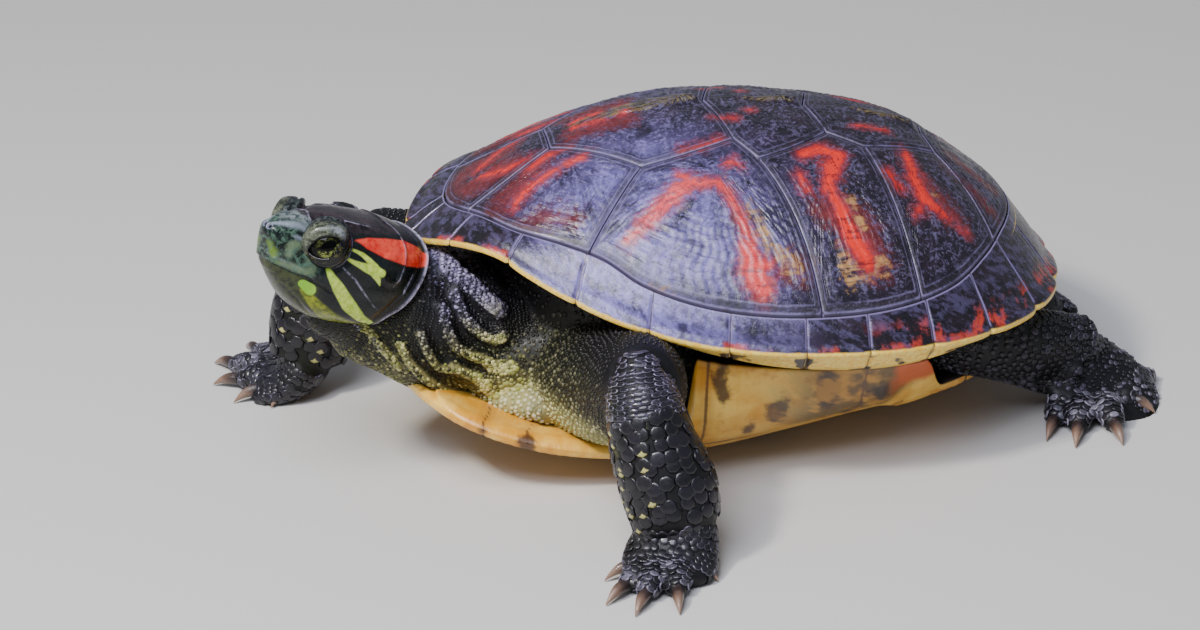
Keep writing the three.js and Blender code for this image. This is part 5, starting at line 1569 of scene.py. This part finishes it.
def blend_grid(rings, u, v):
    """Point of a grid of rings at fraction u along and v around, between its four nearest points."""
    n, m, _ = rings.shape
    x, y = u * (n - 1), (v % 1) * m
    i, j = np.clip(x.astype(int), 0, n - 2), y.astype(int) % m
    s, t = (x - i)[:, None], (y - y.astype(int))[:, None]
    k = (j + 1) % m
    return (
        (rings[i, j] * (1 - t) + rings[i, k] * t) * (1 - s)
        + (rings[i + 1, j] * (1 - t) + rings[i + 1, k] * t) * s
    )


def on_skin(P):
    """The skin's nearest points, its normals there and how far off they lie."""
    found = [tree.find_nearest(p) for p in P.tolist()]
    return tuple(
        np.array(part)
        for part in ([tuple(h[0]) for h in found], [tuple(h[1]) for h in found], [h[3] for h in found])
    )


def lay(rings, along, round_, cell, jitter=0.12, near=1.1):
    """Staggered rows over a tube, snapped to the skin: place, run, normal and map place of each scale
    that lies on it."""
    line = rings.mean(1)
    run = np.concatenate([[0], np.cumsum(np.linalg.norm(np.diff(line, axis=0), axis=1))])
    girth = np.linalg.norm(np.diff(np.concatenate([rings, rings[:, :1]], 1), axis=1), axis=2).sum(1)
    us, vs = [], []
    for k, at in enumerate(np.arange(along * 0.5, run[-1], along)):
        u = np.interp(at, run, np.linspace(0, 1, len(run)))
        count = max(5, int(np.interp(at, run, girth) / round_))
        vs.append((np.arange(count) + 0.5 * (k % 2)) / count)
        us.append(np.full(count, u))
    u, v = np.concatenate(us), np.concatenate(vs)
    u = np.clip(u + rng.normal(0, jitter * along / run[-1], len(u)), 0, 1)
    v = v + rng.normal(0, jitter * round_ / girth.mean(), len(v))
    P = blend_grid(rings, u, v) + middle
    T = blend_grid(rings, np.clip(u + 0.01, 0, 1), v) - blend_grid(rings, np.clip(u - 0.01, 0, 1), v)
    N0 = (
        P - middle
        - np.stack([np.interp(u, np.linspace(0, 1, len(line)), line[:, k]) for k in range(3)], -1)
    )
    at, N, gone = on_skin(P)
    straight = np.abs(np.einsum("ij,ij->i", at - P, N)) > 0.8 * gone
    ok = (
        (gone < near) & ((gone < 1.7) | (P[:, 0] < middle[0] - 54)) & (straight | (gone < 0.5))
        & (np.einsum("ij,ij->i", N, N0) > 0.15 * np.linalg.norm(N0, axis=1))
    )
    h = (at - head_place) @ head_axes.T / head_scale
    inside = (h[:, 0] > ring_at(h[:, 2]) - 0.4) & (h[:, 2] > head_throat(h[:, 0]) + 0.4)
    q = (at - middle - [0, 0, lift]) @ stance
    deep = (
        (np.abs(q[:, 1]) < half_outline(q[:, 0]) - 24) & (q[:, 0] > -48) & (q[:, 0] < 50)
        & (q[:, 2] > low_height(q[:, 0]) + 2)
    )
    ok &= ~inside & ~deep & (at[:, 2] > 0.6)
    uv = np.array(cell[:2]) + np.stack([v % 1, u], -1) * np.array(cell[2:])
    return at[ok], T[ok], N[ok], uv[ok]


# A dome's rings from its top out: distance from its middle and height, as shares of its sizes.
plump_dome = ((0.0, 1.0), (0.62, 0.94), (0.88, 0.66), (1.0, -0.3))
low_dome = ((0, 1), (0.7, 0.75), (1, -0.35))
map_patch = 0.0015


def domes(name, places, length, width, height, fields, sides=7, tilt=0.0, levels=plump_dome):
    """Joined mesh of closed domes. Each has half sizes length (along its run) and width, rises to height
    over the skin and is sunk into it at its edge; tilt lifts the far edge."""
    P, T, N, uv = places
    T = T - N * np.einsum("ij,ij->i", T, N)[:, None]
    T /= np.linalg.norm(T, axis=1, keepdims=True) + 1e-9
    S = np.cross(N, T)
    a = circle(sides)
    x = np.concatenate([[0.0]] + [r * np.cos(a) for r, _ in levels[1:]] + [[0.0]])
    y = np.concatenate([[0.0]] + [r * np.sin(a) for r, _ in levels[1:]] + [[0.0]])
    z = np.concatenate([[1.0]] + [np.full(sides, h) for _, h in levels[1:]] + [[-0.6]])
    rim_of = np.concatenate([[0.0]] + [np.full(sides, r) for r, _ in levels[1:]] + [[1.0]])
    length, width, height = (
        np.broadcast_to(np.asarray(g, float), len(P))[:, None] for g in (length, width, height)
    )
    V = (
        P[:, None] + T[:, None] * (x * length)[..., None] + S[:, None] * (y * width)[..., None]
        + N[:, None] * (z * height + tilt * (x + 0.3) * length)[..., None]
    )
    k = np.arange(sides)
    q = (k + 1) % sides
    tris = [np.stack([0 * k, 1 + k, 1 + q], -1)]
    for ring in range(len(levels) - 2):
        b, o = 1 + ring * sides, 1 + (ring + 1) * sides
        tris += [np.stack([b + k, o + k, o + q], -1), np.stack([b + k, o + q, b + q], -1)]
    last = 1 + (len(levels) - 2) * sides
    tris.append(np.stack([last + q, last + k, np.full(sides, last + sides)], -1))
    tris = np.vstack(tris)
    per = len(x)
    faces = (tris[None] + (np.arange(len(P)) * per)[:, None, None]).reshape(-1, 3)
    patch = uv[:, None] + np.stack([y, x], -1)[None] * map_patch
    data = {"rim": np.tile(rim_of, len(P)), "tip": np.tile(x - np.abs(y) * 0.8, len(P))}
    data.update({key: np.repeat(np.broadcast_to(values, len(P)), per) for key, values in fields.items()})
    V = V.reshape(-1, 3)
    V[:, 2] = np.maximum(V[:, 2], 0.05)
    piece = shape(name, V, [faces], data, patch.reshape(-1, 2))
    piece.data.materials.append(scale_horn)
    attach(piece, "root")


f = Finish("scale_horn")
tone_t, warm_t, rim_t, seed = f.field("tone"), f.field("warm"), f.field("rim"), f.field("seed")
fine = f.noise(1.4, 3, 0.6)
# Pale rims on the limb scales: partly their own pale edges, partly painted highlight on the edges.
shown = tone_t + f.ease(rim_t, 0.72, 0.92) * f.field("pale_rim") + (fine - 0.5) * 0.35
dark = f.mix(warm_t, f.mix(seed, (9, 8, 14), (24, 20, 32)), f.mix(seed, (11, 11, 6), (32, 31, 13)))
light = f.mix(
    warm_t, f.mix(seed, (136, 130, 168), (178, 170, 204)), f.mix(seed, (148, 154, 62), (214, 208, 142))
)
base = f.mix(f.ease(shown, 0.25, 1.0), dark, light)
base = f.mix(
    f.ease(f.field("tip") + (fine - 0.5) * 0.5, 0.16, 0.34) * f.field("gold"), base, (190, 184, 112)
)
scale_horn = f.done(
    base, f.ease(fine, 0.3, 0.7) * 0.16 + 0.34, fine, 0.08, IOR=1.42,
    Coat_Weight=f.field("pale_rim") * 1.6 + 0.06, Coat_Roughness=0.12
)
# Windows of the map, eight to a row: left, bottom, width and height.
cells = [(0.002 + 0.125 * (k % 8), 0.502 + 0.1 * (k // 8), 0.12, 0.095) for k in range(40)]


def coat(
    name, places, sizes, look_of, sides=7, tilt=0.0, levels=plump_dome, pale_rim=0.0,
    gold_of=lambda seed, tone, warm: 0.0
):
    """Dresses places with scales: sizes and look_of give half length, half width and height, and tone and
    warmth, from each scale's seed and the skin's own tone and warmth there."""
    seed = rng.random(len(places[0]))
    tone, warm = paint(places[0])
    gold = gold_of(seed, tone, warm)
    tone, warm = look_of(seed, tone, warm)
    domes(
        name, places, *sizes(seed, tone),
        {
            "tone": np.clip(tone, 0, 1), "warm": np.clip(warm, 0, 1), "seed": seed * 5 % 1,
            "pale_rim": pale_rim, "gold": gold
        },
        sides, tilt, levels
    )


def as_skin(seed, tone, warm):
    """The skin's own tone and warmth, with a little scatter in the tone."""
    return tone + (seed - 0.5) * 0.3, warm


def gold_tipped(seed, tone, warm):
    """Gold tips for some of the warm plates, more of them where the skin is pale."""
    return (seed * 7 % 1 < 0.3 + 0.5 * smooth(tone, 0.2, 0.38)) * (warm > 0.3) * 0.9


everywhere = lay(neck, 0.92, 0.66, (0.002, 0.002, 0.49, 0.49), near=3.0)
crowded = smooth(everywhere[0][:, 2], 33, 27)
chosen = rng.random(len(crowded)) > crowded * 0.45
top = smooth(everywhere[0][chosen, 2], 44, 50)
coat(
    "neck_grains", tuple(part[chosen] for part in everywhere),
    lambda seed, tone: (
        0.42 + 0.22 * top + 0.12 * seed, 0.29 + 0.1 * tone + 0.06 * seed, 0.12 + 0.2 * tone
    ),
    lambda seed, tone, warm: (np.clip(tone + rng.normal(0, 0.14, len(seed)), 0, 1), warm), 6, 0.05,
    low_dome
)
for k, pocket in enumerate(pocket_tubes):
    coat(
        f"pocket_{k}_beads",
        lay(pocket, 1.25, 1.2, (0.51 + 0.24 * k, 0.212, 0.23, 0.048), jitter=0.16, near=1.8),
        lambda seed, tone: (
            0.42 + 0.14 * seed + 0.5 * smooth(tone, 0.6, 0.85),
            0.4 + 0.12 * seed + 0.45 * smooth(tone, 0.6, 0.85), 0.26 + 0.14 * tone
        ),
        as_skin, 7, 0.04, low_dome
    )

for k, skirt in enumerate(skirts):
    coat(
        f"skirt_{k}_beads", lay(tube(skirt, 60, 30, (0, 0, 1)), 1.5, 1.4, cells[36 + k], jitter=0.16),
        lambda seed, tone: (0.55 + 0.2 * seed, 0.5 + 0.2 * seed, 0.4),
        lambda seed, tone, warm: (tone + 0.2 + (seed - 0.5) * 0.3, warm * 0.8), 8, 0.0, low_dome
    )

crest_P, crest_T, crest_uv, crest_k = [], [], [], []
for order, (line, out, breadth) in enumerate(fold_tracks):
    length = np.linalg.norm(np.diff(line, axis=0), axis=1).sum()
    heading = unit_length(np.gradient(line, axis=0))
    sideways = np.cross(heading, out)
    sideways *= np.sign(sideways @ [-1.0, 0, -1.0])[:, None]
    for row, across in enumerate(np.arange(-0.45, 1.0, 0.72 / breadth) * breadth):
        count = int(length / 0.86)
        u = (np.arange(count) + 0.5 * (row % 2) + 0.25 + rng.normal(0, 0.14, count)) / count
        line_at, out_at, way, side_way = (
            np.stack([np.interp(u, np.linspace(0, 1, 40), g[:, k]) for k in range(3)], -1)
            for g in (line, out, heading, sideways)
        )
        crest_P.append(
            line_at + out_at * 2.0 + side_way * (across + rng.normal(0, 0.1, (count, 1))) + middle
        )
        crest_T.append(way)
        crest_uv.append(np.stack([0.51 + 0.4 * u, np.full(count, 0.008 + 0.03 * order + 0.005 * row)], -1))
        crest_k.append(u)
crest_P, crest_T, crest_uv, crest_k = (np.concatenate(g) for g in (crest_P, crest_T, crest_uv, crest_k))
at, N, _ = on_skin(crest_P)
coat(
    "fold_beads", (at, crest_T, N, crest_uv),
    lambda seed, tone: (
        0.34 + 0.3 * crest_k**2 + 0.12 * seed, 0.3 + 0.24 * crest_k**2 + 0.12 * seed,
        0.24 + 0.24 * crest_k
    ),
    lambda seed, tone, warm: (0.34 + 0.45 * crest_k + 0.5 * (seed - 0.5), smooth(at[:, 2], 45, 31)), 7,
    0.0, low_dome
)

trunk_rows = spline(trunk, np.linspace(0.12, 0.8, 60))
for k, (side, (arm, shin, palm)) in enumerate(arm_tubes.items()):
    coat(
        f"upper_arm_{side}_scales", lay(arm, 1.3, 1.25, cells[k], jitter=0.16),
        lambda seed, tone: (0.44 + 0.14 * seed, 0.42 + 0.12 * seed, 0.26), as_skin, 7, 0.04, low_dome, 0.1
    )
    ribs = rounded(shin[:24], (0.9, 0.3))[:-3]
    coat(
        # Elbow ribs pale lavender: partly their own colour, partly a painted sheen from above.
        f"elbow_{side}_scales", lay(ribs, 1.05, 2.1, cells[2 + k]),
        lambda seed, tone: (0.62, 1.25 + 0.15 * seed, 0.26),
        lambda seed, tone, warm: (np.minimum(tone, 0.2) + 0.16 + (seed - 0.5) * 0.2, warm * 0.2), 8, 0.16,
        pale_rim=0.34
    )
    coat(
        f"forearm_{side}_plates", lay(shin[21:], 2.7, 3.2, cells[4 + k], jitter=0.2),
        lambda seed, tone: (1.75 + 0.3 * seed, 1.8 + 0.35 * seed, 0.34),
        lambda seed, tone, warm: (tone * 0.3 + 0.1 * seed, warm * 0.3), 7, 0.08, pale_rim=0.16,
        gold_of=gold_tipped
    )
    coat(
        f"hand_{side}_scales", lay(palm, 1.6, 1.7, cells[6 + k]),
        lambda seed, tone: (1.0 + 0.2 * seed, 0.98 + 0.2 * seed, 0.32),
        lambda seed, tone, warm: (tone * 0.5 + 0.04 + (seed - 0.4) * 0.3, warm * 0.3), 8, 0.12,
        pale_rim=0.24
    )
for k, (side, (thigh, sole)) in enumerate(leg_tubes.items()):
    for part, rings, cell in (("hind_leg", thigh, cells[8 + k]), ("foot", sole, cells[10 + k])):
        wide = 1.35 if part == "hind_leg" else 1.0
        coat(
            f"{part}_{side}_scales", lay(rings, 1.15 * wide, 1.1 * wide, cell, jitter=0.2),
            lambda seed, tone: (
                (0.56 + 0.12 * (seed > 0.8)) * wide, (0.52 + 0.1 * (seed > 0.8)) * wide,
                (0.26 + 0.12 * (seed > 0.8)) * wide
            ),
            lambda seed, tone, warm: (
                tone + 0.13 + (seed > 0.8) * (0.06 + 0.3 * tone) + (seed - 0.5) * 0.15, warm * 0.3
            ),
            8, 0.08, pale_rim=0.1
        )
digit_sets = [lay(digit, 1.2, 1.9, cells[12 + k], jitter=0.05) for k, digit in enumerate(digit_tubes)]
coat(
    "digit_plates", tuple(np.concatenate(part) for part in zip(*digit_sets)),
    lambda seed, tone: (0.78, 1.12, 0.28),
    lambda seed, tone, warm: (tone + 0.12 + (seed - 0.4) * 0.5, warm * 0.5), 8, 0.12, pale_rim=0.2
)
coat("tail_scales", lay(tail, 1.3, 1.2, cells[38]), lambda seed, tone: (0.74, 0.64, 0.24),
     as_skin, 6, 0.1, low_dome, 0.1)
coat(
    "trunk_beads", lay(trunk_rows, 1.5, 1.5, (0.51, 0.27, 0.48, 0.22), jitter=0.2),
    lambda seed, tone: (0.6 + 0.2 * seed, 0.55 + 0.2 * seed, 0.34),
    lambda seed, tone, warm: (tone + 0.06 + (seed - 0.5) * 0.3, warm), 6, 0.0, low_dome
)


# ---------------------------------------------------------------- claws
# Long horny claws, curved down to the ground: eighteen of them, five on each hand and four on
# each foot, set into the ends of the digits.
f = Finish("claw_horn")
reach_tone = f.field("reach")
base = f.mix(f.ease(reach_tone + (f.noise(0.8) - 0.5) * 0.3, 0.1, 0.8), (50, 38, 36), (142, 112, 92))
claw_horn = f.done(
    base, 0.3, f.noise(1.0, 2, at=f.vector(f.field("turn") * 12.0, reach_tone)), 0.08, IOR=1.5,
    Coat_Weight=0.3
)
for prefix, digits in toes.items():
    for i, digit in enumerate(digits):
        if len(digit) > 5:
            continue
        c, B, w = np.array(toe(*digit)[2][:3]), np.array(digit[1], float), digit[2] * 0.52
        A = c + unit_length((B - c) * [1, 1, 0]) * 0.5
        d = B - A
        s = unit_length(np.cross(d, [0, 0, 1]))
        n = unit_length(np.cross(s, d))
        t = np.linspace(-0.22, 0.985, 26)
        k = spline([[1], [0.86], [0.5], [0.06]], np.clip(t, 0, 1))[:, 0] * (1 + 0.05 * (t < 0))
        bow = 0.11 * np.sin(np.pi * np.clip(t, 0, 1)) ** 0.8 * np.linalg.norm(d)
        o = A + d * t[:, None] + n * bow[:, None]
        q = circle(16)
        rings = (
            o[:, None] + s * (w * k[:, None] * np.cos(q))[..., None]
            + n * (w * 1.15 * k[:, None] * np.sin(q))[..., None]
        )
        V, quads, fans = closed(rings, (None, B))
        V[:, 2] = np.maximum(V[:, 2], 0.0)
        reach = np.concatenate([np.repeat(t, 16), [t[0], 1]])
        piece = shape(
            f"{prefix}_claw_{i + 1}_horn", V + middle, [quads, fans],
            {"reach": reach, "turn": np.concatenate([np.tile(q, 26), [0, 0]])}
        )
        piece.data.materials.append(claw_horn)
        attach(piece, "root")
        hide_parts(f"{prefix}_claw_{i + 1}")


# ---------------------------------------------------------------- stage
# A pale floor, a soft sky, two studio lights and the camera.
bpy.ops.mesh.primitive_plane_add(size=6, location=(0, 0, 0))
floor = bpy.context.object
floor.name = "studio_floor"
f = Finish("studio_floor")
floor.data.materials.append(f.done(f.colour(205, 203, 198), 0.7))

world = bpy.data.worlds.new("studio")
bpy.context.scene.world = world
world.use_nodes = True
world.node_tree.nodes["Background"].inputs[0].default_value = (0.80, 0.86, 1.0, 1)
world.node_tree.nodes["Background"].inputs[1].default_value = 0.33


def softbox(name, place, aim, size, power, tint):
    """A square studio light at place, turned to face aim, both in millimetres."""
    lamp = bpy.data.lights.new(name, "AREA")
    lamp.shape, lamp.size, lamp.energy, lamp.color = "SQUARE", size, power, tint
    piece = bpy.data.objects.new(name, lamp)
    bpy.context.scene.collection.objects.link(piece)
    place, aim = Vector(place) * mm, Vector(aim) * mm
    piece.location = place
    piece.rotation_euler = (aim - place).to_track_quat("-Z", "Y").to_euler()


softbox("sky_window", (-230, -430, 820), (-10, -10, 40), 0.5, 9.0, (0.82, 0.85, 1.0))
softbox("sun_window", (-480, -260, 760), (-40, 0, 30), 0.12, 7.0, (1.0, 0.95, 0.88))

camera = bpy.data.objects.new("camera", bpy.data.cameras.new("camera"))
bpy.context.scene.collection.objects.link(camera)
camera.data.lens, camera.data.sensor_width = 130.9, 36
camera.data.clip_start, camera.data.clip_end = 0.05, 20
right, above, back = (0.9887, -0.1353, -0.0645), (0.1147, 0.4063, 0.9065), (-0.0965, -0.9037, 0.4172)
stand_at = (-0.11479, -0.88326, 0.44248)
camera.matrix_world = Matrix(
    [[right[k], above[k], back[k], stand_at[k]] for k in range(3)] + [[0, 0, 0, 1]]
)
bpy.context.scene.camera = camera
